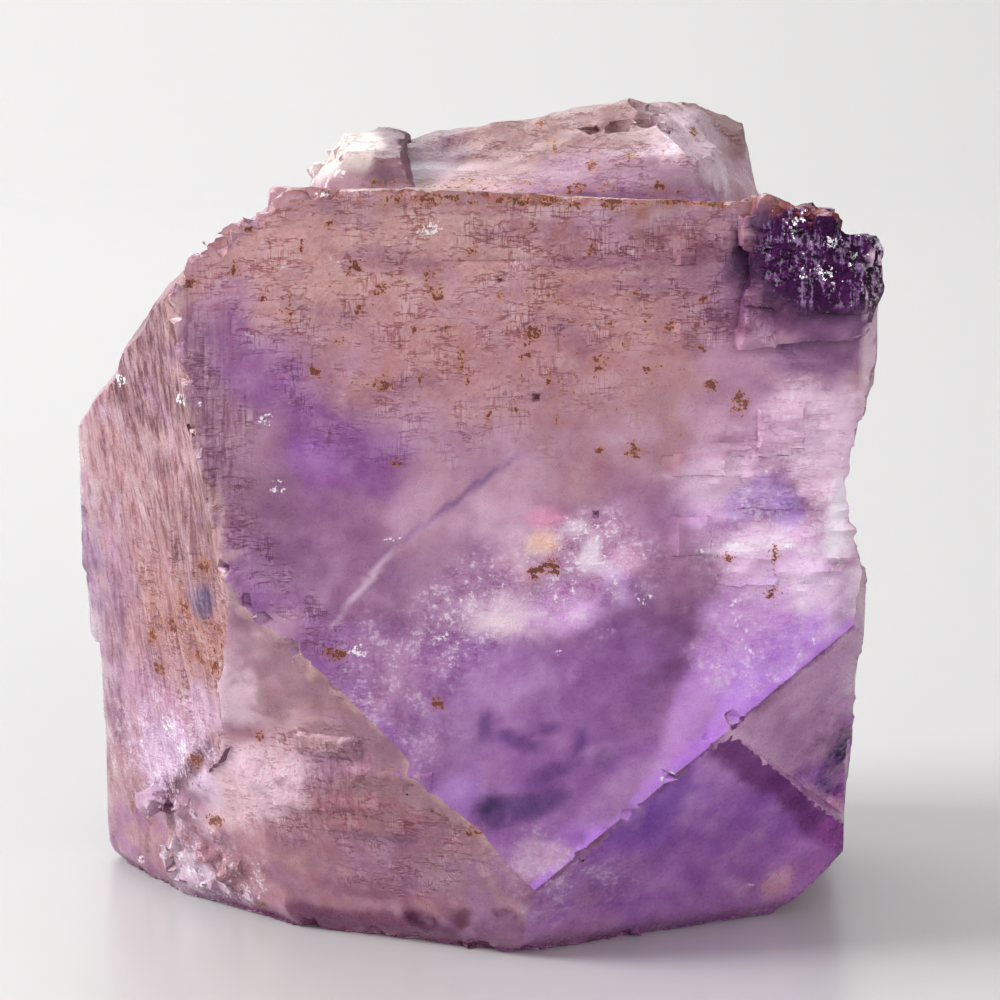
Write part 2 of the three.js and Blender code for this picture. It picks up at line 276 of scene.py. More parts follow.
def fineSkin(source):
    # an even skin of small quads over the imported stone, edges kept crisp
    mesh = source.data.copy()
    mesh.name = "fluoriteSkin"
    worker = bmesh.new()
    worker.from_mesh(mesh)
    bmesh.ops.remove_doubles(worker, verts=worker.verts, dist=2e-6)
    worker.to_mesh(mesh)
    worker.free()
    stone = addObject("fluorite_stone", mesh)
    grid = stone.modifiers.new("grid", "REMESH")
    grid.mode = "SHARP"
    grid.octree_depth = relief["octreeDepth"]
    grid.scale = relief["gridScale"]
    shown = stone.evaluated_get(bpy.context.evaluated_depsgraph_get())
    fine = bpy.data.meshes.new_from_object(shown)
    stone.modifiers.clear()
    stone.data = fine
    worker = bmesh.new()
    worker.from_mesh(fine)
    closePinches(worker)
    worker.to_mesh(fine)
    worker.free()
    return stone


def closePinches(worker):
    # opens up the few pinched spots and fills them again, until every edge has two faces
    mostRounds = 8
    for _ in range(mostRounds):
        pinched = [e for e in worker.edges if len(e.link_faces) != 2]
        if not pinched:
            break
        around = dict.fromkeys(f for e in pinched for v in e.verts for f in v.link_faces)
        bmesh.ops.delete(worker, geom=list(around), context="FACES")
        bmesh.ops.delete(worker, geom=[v for v in worker.verts if not v.link_faces], context="VERTS")
        bmesh.ops.delete(worker, geom=[e for e in worker.edges if not e.link_faces], context="EDGES")
        rims = [e for e in worker.edges if len(e.link_faces) == 1]
        bmesh.ops.holes_fill(worker, edges=rims, sides=0)
    bmesh.ops.triangulate(worker, faces=[f for f in worker.faces if len(f.verts) > 4])
    bmesh.ops.recalc_face_normals(worker, faces=worker.faces)


# where the skin is rougher: middle and reach in mm
reliefPatches = {
    "darkCorner": ((22.0, -17.0, 45.6), (5.2, 8.0, 3.6)),
    "crumbCorner": ((-19.5, -6.0, 3.5), (6.5, 7.0, 3.6)),
    "crinkleGlow": ((20.5, -21.0, 29.5), (6.5, 7.0, 9.0)),
    "crest": ((4.0, 2.0, 51.5), (18.0, 14.0, 2.6)),
    "streakFacet": ((24.0, -13.0, 12.0), (3.2, 6.0, 6.0)),
}
# little cubes: patch, their cells (size, sway, seed, part of the height) and how far they sit in
cubeletCorners = [
    ("darkCorner", [((1.5, 1.5, 1.2), 0.5, 40.0, 1.0), ((0.8, 0.9, 0.7), 0.3, 51.0, 0.5)], 0.35),
    ("crumbCorner", [((1.2, 1.2, 1.1), 0.4, 60.0, 1.0)], 0.3),
]


def inPatch(point, name):
    # 1 inside a soft ellipsoid, 0 outside it
    middle, reach = reliefPatches[name]
    away = math.sqrt(sum(((p - m) / r) ** 2 for p, m, r in zip(point, middle, reach)))
    share = min(max((1.25 - away) / 0.5, 0.0), 1.0)
    return share * share * (3 - 2 * share)


def stretched(point, wave):
    return Vector([p / w for p, w in zip(point, wave)])


def steppedNoise(point, cell, seed):
    x, y, z = (p / size for p, size in zip(point, cell))
    return noise.cell(Vector((x + seed, y, z))) - 0.5


def cubeletSteps(here, wobble, cells):
    steps = [p * steppedNoise(here + wobble * sway, cell, seed) for cell, sway, seed, p in cells]
    return sum(steps)


def reliefAt(point, normal):
    # height of the skin over the flat faces at one point, in mm
    here = Vector(point)
    across, facing = abs(normal[0]), abs(normal[1])
    wobble = noise.noise_vector(here / relief["wobbleSpan"]) * relief["wobble"]
    height = relief["swell"] * noise.fractal(here / relief["swellSpan"], 1.0, 2.0, 3)
    plates = relief["mosaicStep"] * steppedNoise(here + wobble + wobble, relief["mosaicCell"], 3.0)
    plates += noise.fractal(stretched(point, relief["mosaicWave"]) + wobble * 0.6, 0.8, 2.0, 3)
    patchy = noise.noise(here / relief["mosaicSpan"] + Vector((9, 4, 2))) + 0.55
    height += relief["mosaic"] * plates * min(max(patchy, 0.0), 1.0) * (0.4 + facing)
    height += relief["ribs"] * noise.noise(stretched(point, relief["ribWave"])) * across
    for name, cells, lower in cubeletCorners:
        share = inPatch(point, name)
        if share:
            height += share * relief["cubelets"] * (cubeletSteps(here, wobble, cells) - lower)
    share = inPatch(point, "crinkleGlow")
    if share:
        ledges = noise.fractal(stretched(point, relief["crinkleWave"]) + wobble, 1.0, 2.0, 3)
        height += share * relief["crinkles"] * (abs(ledges) * 1.4 - 0.4)
    share = inPatch(point, "streakFacet")
    if share:
        streaks = noise.fractal(stretched(point, relief["streakWave"]) + wobble, 1.0, 2.0, 2)
        height += share * relief["streaks"] * streaks
    share = inPatch(point, "crest")
    if share:
        height += share * relief["lumps"] * noise.fractal(here / relief["lumpSpan"], 0.9, 2.1, 4)
    return height * min(max((point[2] - 0.05) / relief["baseGuard"], 0.0), 1.0)


def bluntSpikes(worker):
    # draws sharp points in, and returns how far each point stood out over its neighbours, in mm
    stands, blunted = [], []
    for vertex in worker.verts:
        middle = Vector((0, 0, 0))
        for edge in vertex.link_edges:
            middle += edge.other_vert(vertex).co
        middle /= max(len(vertex.link_edges), 1)
        stands.append((vertex.co - middle).dot(vertex.normal) / mm)
        if stands[-1] > relief["spikeLimit"]:
            blunted.append((vertex, vertex.co.lerp(middle, relief["spikeBlunting"])))
    for vertex, place in blunted:
        vertex.co = place
    return stands


def softenPlates(worker):
    # wears down the shallow steps on the front face, away from its edges
    planes = {name: (Vector(on), Vector(out).normalized()) for name, (on, out) in facets.items()}
    through, facing = planes["front"]
    around = ("lowLeft", "lowRight", "leftBevel", "top", "upperLeft", "triangle")
    beside = [planes[name] for name in around]
    margin = -relief["plateMargin"]
    for vertex in worker.verts:
        spot = vertex.co / mm
        raised = (spot - through).dot(facing)
        if abs(raised) >= relief["plateHeight"] or spot.x >= relief["plateEnd"]:
            continue
        if all((spot - on).dot(out) < margin for on, out in beside):
            vertex.co -= facing * raised * relief["plateSoftening"] * mm


def tuckFoot(vertex, normal):
    # draws the lowest rim in a little, where the stone meets the floor
    low = max(1 - vertex.co.z / mm / relief["footHeight"], 0.0)
    if low > 0:
        away = Vector((vertex.co.x, vertex.co.y, 0.0)).normalized()
        tuck = relief["footTuck"] * low**1.6 * (0.8 + 0.5 * noise.noise(vertex.co / mm / 4.0))
        reach = min(max(away.dot(normal) + 0.25, 0.0), 1.0)
        vertex.co -= away * tuck * reach * mm


def growRelief(stone):
    # moves the skin in and out, and returns how far each point stands out on an edge
    worker = bmesh.new()
    worker.from_mesh(stone.data)
    worker.normal_update()
    edgeStand = bluntSpikes(worker)
    bluntSpikes(worker)
    softenPlates(worker)
    worker.normal_update()
    moves = [(v, v.normal.copy(), reliefAt(v.co / mm, v.normal)) for v in worker.verts]
    for (vertex, normal, height), stand in zip(moves, edgeStand):
        chip = min(max(stand - relief["chipStart"], 0.0), relief["chipLimit"])
        wear = chip * (0.6 + noise.noise(vertex.co / mm / 1.3))
        vertex.co += normal * (height - wear) * mm
        tuckFoot(vertex, normal)
        inside = zip(vertex.co, (cadLow.x, cadLow.y, 0.0), cadHigh)
        vertex.co = [min(max(value, low), high) for value, low, high in inside]
    worker.to_mesh(stone.data)
    worker.free()
    stone.data.shade_smooth()
    stone.data.set_sharp_from_angle(angle=math.radians(relief["sharpEdge"]))
    return np.array(edgeStand)


# the flat faces: a point on each in mm, and the way it faces
facets = {
    "front": ((1.3, -21.3, 30), (0.01, -1, 0.04)),
    "leftBevel": ((-17.2, -21.0, 34), (-0.86, -0.48, -0.16)),
    "left": ((-25.5, -5.3, 26), (-1, -0.02, 0.02)),
    "upperLeft": ((-15.2, -20.3, 46.5), (-0.6, 0.2, 0.77)),
    "shoulder": ((-20.8, -15.3, 39.3), (-0.8, 0.06, 0.6)),
    "top": ((1.3, -20.4, 49), (0.03, 0.22, 0.97)),
    "right": ((25.3, -6.3, 15), (1, -0.03, -0.02)),
    "back": ((1.3, 18.7, 24), (0.05, 1, 0.03)),
    "lowLeft": ((-10.4, -21.6, 19.7), (-0.38, -0.86, -0.35)),
    "lowRight": ((16.5, -21.8, 15.3), (0.43, -0.77, -0.47)),
    "triangle": ((16.5, -21.8, 15.3), (0.49, -0.67, -0.55)),
    "triangleRiser": ((16.5, -21.8, 15.3), (0.73, -0.01, 0.68)),
    "rightBevel": ((24.7, -19.3, 14), (0.86, -0.5, -0.1)),
    "footLeft": ((-23.1, -6.3, 3.3), (-0.75, -0.3, -0.6)),
    "footRight": ((24.2, -6.3, 3), (0.72, -0.12, -0.69)),
    "backUpperLeft": ((-16.2, 13.7, 37), (-0.6, 0.55, 0.58)),
    "backUpperRight": ((20.3, 14.2, 38), (0.58, 0.5, 0.65)),
    "backLowerRight": ((21.1, 16.5, 10), (0.62, 0.66, -0.42)),
    "backLowerLeft": ((-18.7, 16.1, 8.6), (-0.6, 0.68, -0.42)),
    "sunken": ((-18.0, -11.2, 8.6), (-0.66, -0.66, -0.36)),
    "sunkenRiser": ((-16.8, -15.8, 11.6), (0.39, -0.43, -0.81)),
}

# soft patches of colour laid on the flat faces, each over the last: middle across and up (mm),
# reach across and up, turn (degrees), colour, strength, faces it shows on (else the front)
colourPatches = [
    # upper half: dusty etched skin
    (-2.1, 44.7, 12.5, 3.3, 0, (204, 164, 156), 0.78),
    (-4.0, 39.8, 5.6, 2.3, 0, (202, 160, 164), 0.45),
    (-13.8, 44.4, 5.6, 3.8, 25, (206, 164, 162), 0.75),
    (-15.4, 42.1, 2.8, 1.9, 30, (186, 144, 174), 0.6),
    (5.3, 39.6, 12.5, 5.3, 0, (184, 140, 138), 0.82),
    (9.0, 34.3, 8.1, 3.8, 0, (172, 132, 138), 0.7),
    (1.1, 36.0, 3.7, 1.6, 0, (196, 158, 164), 0.5),
    (1.6, 48.1, 16.9, 0.6, 0, (180, 138, 136), 0.5),
    # plum streaks under the top edge
    (10.8, 45.0, 7.5, 0.6, 3, (146, 98, 116), 0.85),
    (12.1, 43.3, 6.2, 0.5, 2, (148, 102, 128), 0.5),
    (-4.3, 44.7, 3.1, 0.9, -10, (150, 104, 132), 0.5),
    (9.0, 46.4, 6.9, 1.1, 0, (156, 108, 116), 0.8),
    # below the dark corner
    (18.0, 38.5, 3.1, 2.4, 0, (188, 146, 172), 0.75),
    (17.7, 41.6, 2.7, 1.3, 0, (122, 76, 108), 0.75),
    (22.8, 29.9, 1.4, 0.9, -30, (176, 140, 176), 0.6),
    # left: the violet heart
    (-13.6, 38.4, 3.9, 2.5, -35, (148, 100, 152), 0.8),
    (-9.1, 33.7, 4.5, 3.2, -42, (142, 92, 146), 0.85),
    (-9.6, 32.3, 2.1, 1.6, -30, (152, 98, 168), 0.75),
    (-5.8, 31.9, 2.5, 2.1, -20, (132, 80, 140), 0.7),
    # grey strip, dusk below the heart
    (-16.5, 36.2, 1.9, 7.0, 10, (160, 126, 142), 0.8),
    (-12.6, 30.2, 3.9, 2.5, -30, (138, 104, 124), 0.7),
    (-7.1, 25.8, 5.6, 3.9, -25, (146, 106, 138), 0.8),
    (-11.0, 26.1, 2.1, 1.6, 0, (128, 90, 126), 0.6),
    (-2.9, 27.1, 2.5, 2.1, 20, (132, 92, 132), 0.65),
    (-8.9, 20.6, 2.5, 1.1, -5, (134, 92, 122), 0.6),
    (0.3, 29.9, 5.0, 3.2, 20, (192, 154, 172), 0.7),
    # violet and grey veils above the left rim
    (-7.1, 15.5, 3.2, 2.2, -45, (156, 106, 186), 0.8),
    (-7.1, 17.9, 3.1, 3.8, -20, (164, 120, 172), 0.6),
    (-2.5, 18.0, 5.7, 2.6, -6, (186, 146, 178), 0.75),
    (2.1, 18.5, 2.5, 3.8, -10, (206, 166, 210), 0.65),
    # middle: the soft glow, painted light reflected inside the stone
    (4.1, 25.2, 6.5, 4.2, 10, (186, 150, 176), 0.45),
    (3.6, 28.5, 2.6, 1.4, 0, (210, 174, 196), 0.55),
    (4.3, 26.4, 2.9, 1.9, 0, (216, 182, 198), 0.75),
    (1.1, 28.6, 2.2, 1.5, 20, (204, 168, 188), 0.65),
    # pale clouds with cream and pink cores: pale veils, brightened with painted glow from inside the
    # stone
    (2.7, 22.3, 2.9, 1.8, 12, (230, 206, 222), 0.9),
    (1.8, 21.8, 1.7, 0.9, 14, (236, 216, 218), 0.75),
    (-1.5, 26.1, 2.5, 1.1, 35, (172, 136, 162), 0.6),
    (6.3, 23.1, 2.2, 1.5, 0, (208, 166, 212), 0.85),
    (8.5, 26.6, 3.9, 2.8, 0, (190, 148, 178), 0.75),
    (9.6, 26.0, 1.2, 1.1, 0, (226, 186, 212), 0.8),
    (4.8, 27.2, 1.1, 0.9, -10, (242, 208, 190), 0.95),
    (5.2, 28.9, 1.4, 0.6, 0, (218, 150, 176), 0.85),
    # white bursts painted as highlights, and lilac spots
    (7.7, 26.6, 0.7, 1.3, -10, (240, 226, 240), 0.8),
    (6.6, 28.1, 0.9, 0.5, 10, (236, 218, 232), 0.75),
    (8.7, 25.4, 0.7, 0.5, -20, (232, 212, 236), 0.7),
    (10.3, 24.1, 1.6, 1.1, -20, (222, 186, 236), 0.85),
    (7.7, 22.8, 1.5, 0.8, 20, (222, 180, 226), 0.8),
    # two thin streaks
    (-6.3, 24.4, 3.0, 0.2, 52, (214, 190, 206), 0.75),
    (-0.5, 29.9, 5.2, 0.2, 36, (124, 92, 140), 0.8),
    # low: the violet depth
    (12.7, 24.5, 3.1, 2.8, 30, (150, 112, 140), 0.7),
    (11.9, 19.8, 5.0, 3.8, 20, (110, 68, 112), 0.85),
    (6.0, 17.9, 6.2, 3.9, 15, (144, 98, 154), 0.85),
    (6.0, 11.1, 5.6, 3.5, 30, (142, 96, 156), 0.8),
    (0.3, 17.3, 3.2, 3.9, -20, (158, 112, 168), 0.7),
    (-1.6, 14.7, 2.5, 2.3, 0, (150, 114, 156), 0.6),
    (2.2, 17.8, 2.9, 0.9, 20, (178, 136, 190), 0.55),
    (6.5, 8.3, 2.6, 0.9, 40, (172, 122, 200), 0.6),
    (10.1, 12.9, 2.9, 1.5, 45, (140, 90, 156), 0.7),
    # dark wisps
    (3.6, 14.6, 1.6, 0.6, -14, (96, 62, 122), 0.75),
    (5.2, 15.5, 1.0, 0.4, 30, (98, 64, 124), 0.7), (5.7, 12.8, 1.9, 0.6, 28, (96, 62, 122), 0.75),
    (7.1, 14.6, 0.5, 1.1, -20, (100, 66, 128), 0.7),
    (8.5, 13.5, 1.0, 0.6, 40, (98, 64, 122), 0.7), (1.3, 15.5, 0.6, 1.1, 0, (96, 64, 122), 0.75),
    # the dark knot, and the veil at the corner below it
    (1.8, 9.8, 1.3, 1.1, 15, (56, 28, 82), 0.97), (3.5, 10.5, 1.1, 0.6, 0, (74, 50, 104), 0.85),
    (4.5, 10.5, 2.1, 0.8, 24, (92, 60, 116), 0.85),
    (-0.6, 10.9, 1.5, 2.5, -40, (172, 132, 196), 0.7),
    (5.0, 6.5, 3.0, 1.6, -15, (196, 166, 190), 0.85, "front,lowRight,lowLeft"),
    # right: the bright clouds, pale veils brightened with painted glow of light through the stone
    (20.8, 34.7, 3.6, 3.0, 20, (226, 194, 216), 0.88),
    (22.6, 32.7, 2.1, 3.8, 0, (230, 202, 222), 0.88),
    (16.8, 33.6, 3.2, 2.9, 0, (200, 160, 186), 0.75),
    (16.0, 30.7, 2.7, 1.9, 0, (232, 204, 224), 0.8),
    (16.1, 28.5, 2.5, 1.6, 0, (216, 174, 220), 0.65),
    (20.3, 26.1, 4.4, 3.8, 0, (236, 204, 232), 0.9),
    (21.9, 24.2, 2.7, 3.2, 0, (238, 212, 238), 0.85),
    (23.3, 28.6, 0.9, 2.7, 0, (252, 240, 252), 0.85),
    # blue spots, white ledge and drops
    (18.1, 30.0, 2.1, 1.2, 15, (186, 160, 214), 0.6),
    (20.0, 29.3, 1.2, 1.1, 30, (166, 134, 208), 0.6),
    (18.1, 27.0, 2.7, 0.5, 6, (244, 226, 240), 0.9),
    (19.1, 24.2, 0.6, 2.1, 0, (232, 214, 234), 0.75),
    (17.5, 21.5, 0.4, 1.6, -8, (240, 226, 248), 0.9),
    # lilac window, and the glowing band along the rim: violet crystal, brightened with painted
    # reflection inside the stone
    (18.0, 19.8, 4.1, 2.9, 46, (186, 138, 200), 0.85),
    (17.5, 22.4, 3.0, 2.4, 30, (208, 164, 216), 0.75),
    (15.1, 17.2, 1.6, 1.4, 20, (186, 140, 176), 0.6),
    (19.1, 18.8, 5.7, 1.8, 46, (192, 146, 218), 0.8),
    (14.2, 13.9, 5.2, 0.9, 44, (190, 128, 224), 0.95),
    (17.1, 17.2, 2.5, 0.7, 46, (214, 166, 244), 0.6),
    (13.8, 16.2, 3.9, 1.1, 59, (196, 146, 214), 0.85),
    (9.3, 8.3, 2.6, 0.4, 42, (180, 120, 214), 0.8),
    # fade into the dark corner
    (22.4, 39.4, 2.9, 2.3, 0, (138, 92, 140), 0.8, "front,right,rightBevel"),
    # lower right cleavage
    (15.1, 6.3, 10.8, 7.1, 0, (142, 92, 166), 0.92, "lowRight"),
    (14.7, 11.7, 3.1, 2.5, -10, (190, 142, 202), 0.85, "lowRight"),
    (12.4, 10.5, 3.6, 2.7, 20, (118, 74, 160), 0.8, "lowRight"),
    (17.8, 4.4, 6.4, 2.3, 0, (152, 102, 168), 0.7, "lowRight"),
    (9.2, 5.0, 3.8, 1.8, 20, (150, 112, 158), 0.6, "lowRight"),
    # its rim and foot; the plum along the bottom rim is painted shade where the stone meets the floor
    (20.7, 3.0, 3.5, 1.2, 20, (126, 76, 130), 0.7, "lowRight"),
    (12.6, 0.5, 7.0, 0.6, 5, (112, 60, 118), 0.15, "lowRight"),
    (16.6, 2.0, 7.1, 1.2, 4, (170, 126, 178), 0.5, "lowRight"),
    (20.5, 2.6, 1.0, 1.2, 0, (200, 150, 156), 0.7, "lowRight"),
    (8.0, 1.6, 2.5, 1.0, 0, (168, 120, 160), 0.5, "lowRight"),
    # steep triangle at the right
    (20.5, 16.9, 5.6, 7.0, 0, (188, 150, 182), 0.9, "triangle,triangleRiser"),
    (18.8, 17.2, 1.6, 2.1, 45, (168, 128, 158), 0.6, "triangle"),
    (21.8, 13.8, 2.0, 1.8, 30, (146, 104, 142), 0.6, "triangle"),
    (22.6, 9.0, 1.7, 2.2, 0, (150, 100, 176), 0.75, "triangle"),
    # ink streaks and the pink tip
    (24.4, 11.5, 0.6, 2.5, -8, (48, 18, 78), 0.97, "triangle,rightBevel"),
    (23.6, 11.0, 0.4, 1.7, -22, (72, 38, 108), 0.9, "triangle"),
    (24.3, 8.6, 1.6, 2.6, 0, (150, 84, 156), 0.75, "triangle,rightBevel"),
    (23.2, 8.9, 1.0, 1.2, 40, (74, 44, 116), 0.8, "triangle"),
    (24.1, 6.8, 1.0, 1.0, 0, (214, 150, 180), 0.85, "triangle,rightBevel"),
    # lower left cleavage: rose base and pale panel
    (-8.7, 8.5, 16.4, 15.4, 0, (170, 128, 134), 0.92, "lowLeft,sunken"),
    (-13.6, 10.7, 3.8, 2.8, 10, (234, 208, 216), 0.92, "lowLeft,sunken"),
    (-10.7, 14.3, 3.4, 2.3, -30, (200, 166, 172), 0.8, "lowLeft"),
    (-15.1, 17.1, 2.6, 2.2, -20, (212, 186, 196), 0.85, "lowLeft,leftBevel,sunken"),
    (-15.7, 8.7, 2.6, 2.6, 0, (210, 182, 186), 0.75, "lowLeft,sunken"),
    # brown and mauve slopes and swirls
    (-6.5, 13.1, 2.5, 3.8, -50, (148, 112, 134), 0.85, "lowLeft"),
    (-12.7, 20.9, 2.7, 1.5, 40, (204, 168, 182), 0.6, "front,lowLeft,leftBevel"),
    (-5.9, 9.9, 3.4, 2.7, -30, (172, 124, 128), 0.75, "lowLeft"),
    (-8.8, 4.6, 3.8, 0.7, -8, (184, 144, 144), 0.65, "lowLeft"),
    (-6.7, 3.8, 2.8, 0.9, -6, (132, 90, 106), 0.65, "lowLeft"),
    (-7.5, 3.4, 3.2, 0.5, -6, (142, 100, 116), 0.6, "lowLeft"),
    (-4.8, 5.9, 3.8, 1.9, 0, (146, 108, 126), 0.75, "lowLeft"),
    (0.3, 5.4, 3.1, 1.6, -10, (160, 132, 142), 0.7, "lowLeft"),
    # its foot: brown, a garnet spot, and plum painted as shade along the bottom rim
    (-15.0, 0.4, 4.8, 1.6, 0, (156, 112, 134), 0.85, "lowLeft,sunken"),
    (-6.2, 1.3, 9.5, 1.0, 2, (110, 62, 84), 0.85, "lowLeft"),
    (-2.9, 1.8, 1.5, 0.6, -3, (76, 26, 56), 0.97, "lowLeft"),
    (2.5, 2.3, 3.5, 1.0, -4, (86, 42, 70), 0.9, "lowLeft"),
    # striated left face
    (-21.0, 29.7, 12.9, 31.4, 0, (172, 136, 136), 0.92, "leftBevel,shoulder,footLeft"),
    (-19.8, 38.8, 3.2, 5.8, 0, (134, 94, 102), 0.85, "leftBevel,shoulder"),
    (-17.6, 20.6, 3.8, 4.3, 0, (178, 140, 136), 0.75, "leftBevel"),
    (-16.9, 27.5, 1.9, 4.5, 0, (146, 110, 112), 0.75, "leftBevel"),
    (-22.1, 14.3, 3.0, 2.3, 0, (190, 154, 174), 0.7, "leftBevel"),
    (-22.9, 23.3, 1.3, 4.0, 0, (176, 140, 158), 0.5, "leftBevel"),
    # its low glow, painted light inside the stone, a blue spot and pale crumbs
    (-19.6, 10.1, 3.4, 3.8, 0, (214, 190, 212), 0.92, "leftBevel,sunken"),
    (-16.6, 23.0, 0.8, 1.1, 0, (104, 92, 122), 0.9, "leftBevel"),
    (-19.6, 2.1, 4.0, 2.5, -20, (206, 186, 200), 0.8, "sunken,footLeft"),
    # brown riser of the sunken panel: its darker brown and the dark line are painted shade in the step
    (-17.7, 9.7, 3.9, 3.9, 0, (124, 82, 88), 0.95, "sunkenRiser"),
    (-18.5, 7.5, 1.6, 1.5, 0, (142, 102, 118), 0.85, "lowLeft,sunken,leftBevel"),
    (-18.3, 10.0, 4.0, 0.5, 57, (104, 64, 74), 0.85, "lowLeft,sunken,sunkenRiser,leftBevel"),
    (-17.0, 14.9, 1.8, 1.7, 0, (208, 182, 200), 0.75, "lowLeft,leftBevel,sunken"),
    (-23.9, 16.4, 1.1, 6.8, 0, (156, 122, 138), 0.75, "leftBevel,shoulder"),
]

# colours that go through the stone: middle (mm), reach, colour, strength, softness of the border
colourDepths = {
    "paleRidge": ((6, -2, 58.5), (60, 40, 9.9), (152, 122, 122), 0.95, 0.2),
    "mauveLobe": ((-4, -6, 50.5), (4, 6, 3), (120, 92, 108), 0.85, 0.5),
    "violetNeck": ((9, -14, 50), (7, 4, 1.6), (172, 140, 166), 0.5, 0.5),
    "ridgeRight": ((15, -6, 51), (4, 8, 3), (212, 190, 200), 0.9, 0.4),
    "whiteLump": ((-8.5, -8, 51.3), (3.2, 4.6, 2.8), (214, 200, 196), 0.95, 0.3),
    "plumFade": ((22.8, -19.2, 44.6), (6.6, 5.4, 5.4), (112, 66, 116), 0.8, 0.5),
    "darkCrust": ((22.4, -18.8, 45.3), (6.2, 6.8, 4.7), (72, 30, 76), 0.98, 0.2),
    # plum along the bottom, painted shade where the stone meets the floor
    "paintedFootShade": ((0, -14, -0.6), (34, 24, 2.0), (118, 72, 108), 0.45, 0.6),
    # the pale left sliver: partly clearer thin crystal, partly painted light through the thin edge
    "leftSliver": ((-26, 2, 20), (1.6, 10, 16), (200, 186, 190), 0.8, 1.2),
    "sliverPlum": ((-25.5, -1, 23), (1.4, 6, 4), (140, 104, 138), 0.8, 1.2),
    # the pale right rim: partly clearer thin crystal, partly painted light through the thin edge
    "rightRim": ((25.5, -16, 24), (1.6, 6, 9), (204, 186, 192), 0.8, 1.2),
}

# colour that follows an edge: face it lies on, face beyond the edge, reach (mm), frayed share,
# colour, strength
edgeTints = [
    ("front", "lowLeft", 1.0, 1.6, (154, 106, 176), 0.15),
    ("lowLeft", "front", 4.5, 1.6, (148, 118, 122), 0.55),
    ("lowLeft", "front", 0.4, 3.0, (206, 182, 168), 0.4),
    ("lowLeft", "lowRight", 3.6, 1.6, (150, 112, 146), 0.65),
    ("lowRight", "lowLeft", 3.2, 1.6, (158, 122, 154), 0.5),
    # the bright band along the front edge: painted reflection inside the stone
    ("front", "lowRight", 0.55, 0.8, (196, 140, 232), 0.8),
    ("lowRight", "front", 0.35, 1.0, (96, 50, 104), 0.7),
    ("triangle", "front", 0.4, 1.0, (104, 66, 98), 0.7),
    # the dark plum band along the riser: painted shade, the riser edge seen through the stone
    ("lowRight", "triangleRiser", 2.0, 0.25, (106, 50, 112), 0.95),
    ("triangle", "triangleRiser", 0.5, 1.2, (208, 176, 196), 0.7),
    ("front", "leftBevel", 0.6, 2.2, (200, 174, 162), 0.5),
    ("leftBevel", "front", 0.9, 1.8, (196, 166, 158), 0.25),
    # dark line along the sunken riser: painted shade in the step
    ("sunkenRiser", "leftBevel", 0.8, 1.0, (96, 56, 66), 0.8),
    # pale right rim: partly clearer thin crystal, partly painted light through the thin edge
    ("front", "right", 0.7, 1.4, (224, 202, 214), 0.6),
    ("front", "top", 0.5, 2.4, (150, 92, 76), 0.6),
    ("top", "front", 1.4, 1.6, (126, 76, 56), 0.85),
]

# clouds for the faces that are seldom seen
hiddenClouds = {
    "seed": 41,
    "count": 90,
    "reach": (2.5, 8.0),
    "share": (0.35, 0.8),
    "colours": [
        (146, 96, 156), (178, 138, 138), (196, 164, 182),
        (128, 82, 140), (168, 124, 144), (214, 190, 206),
    ],
    "frontShare": 0.25,
}

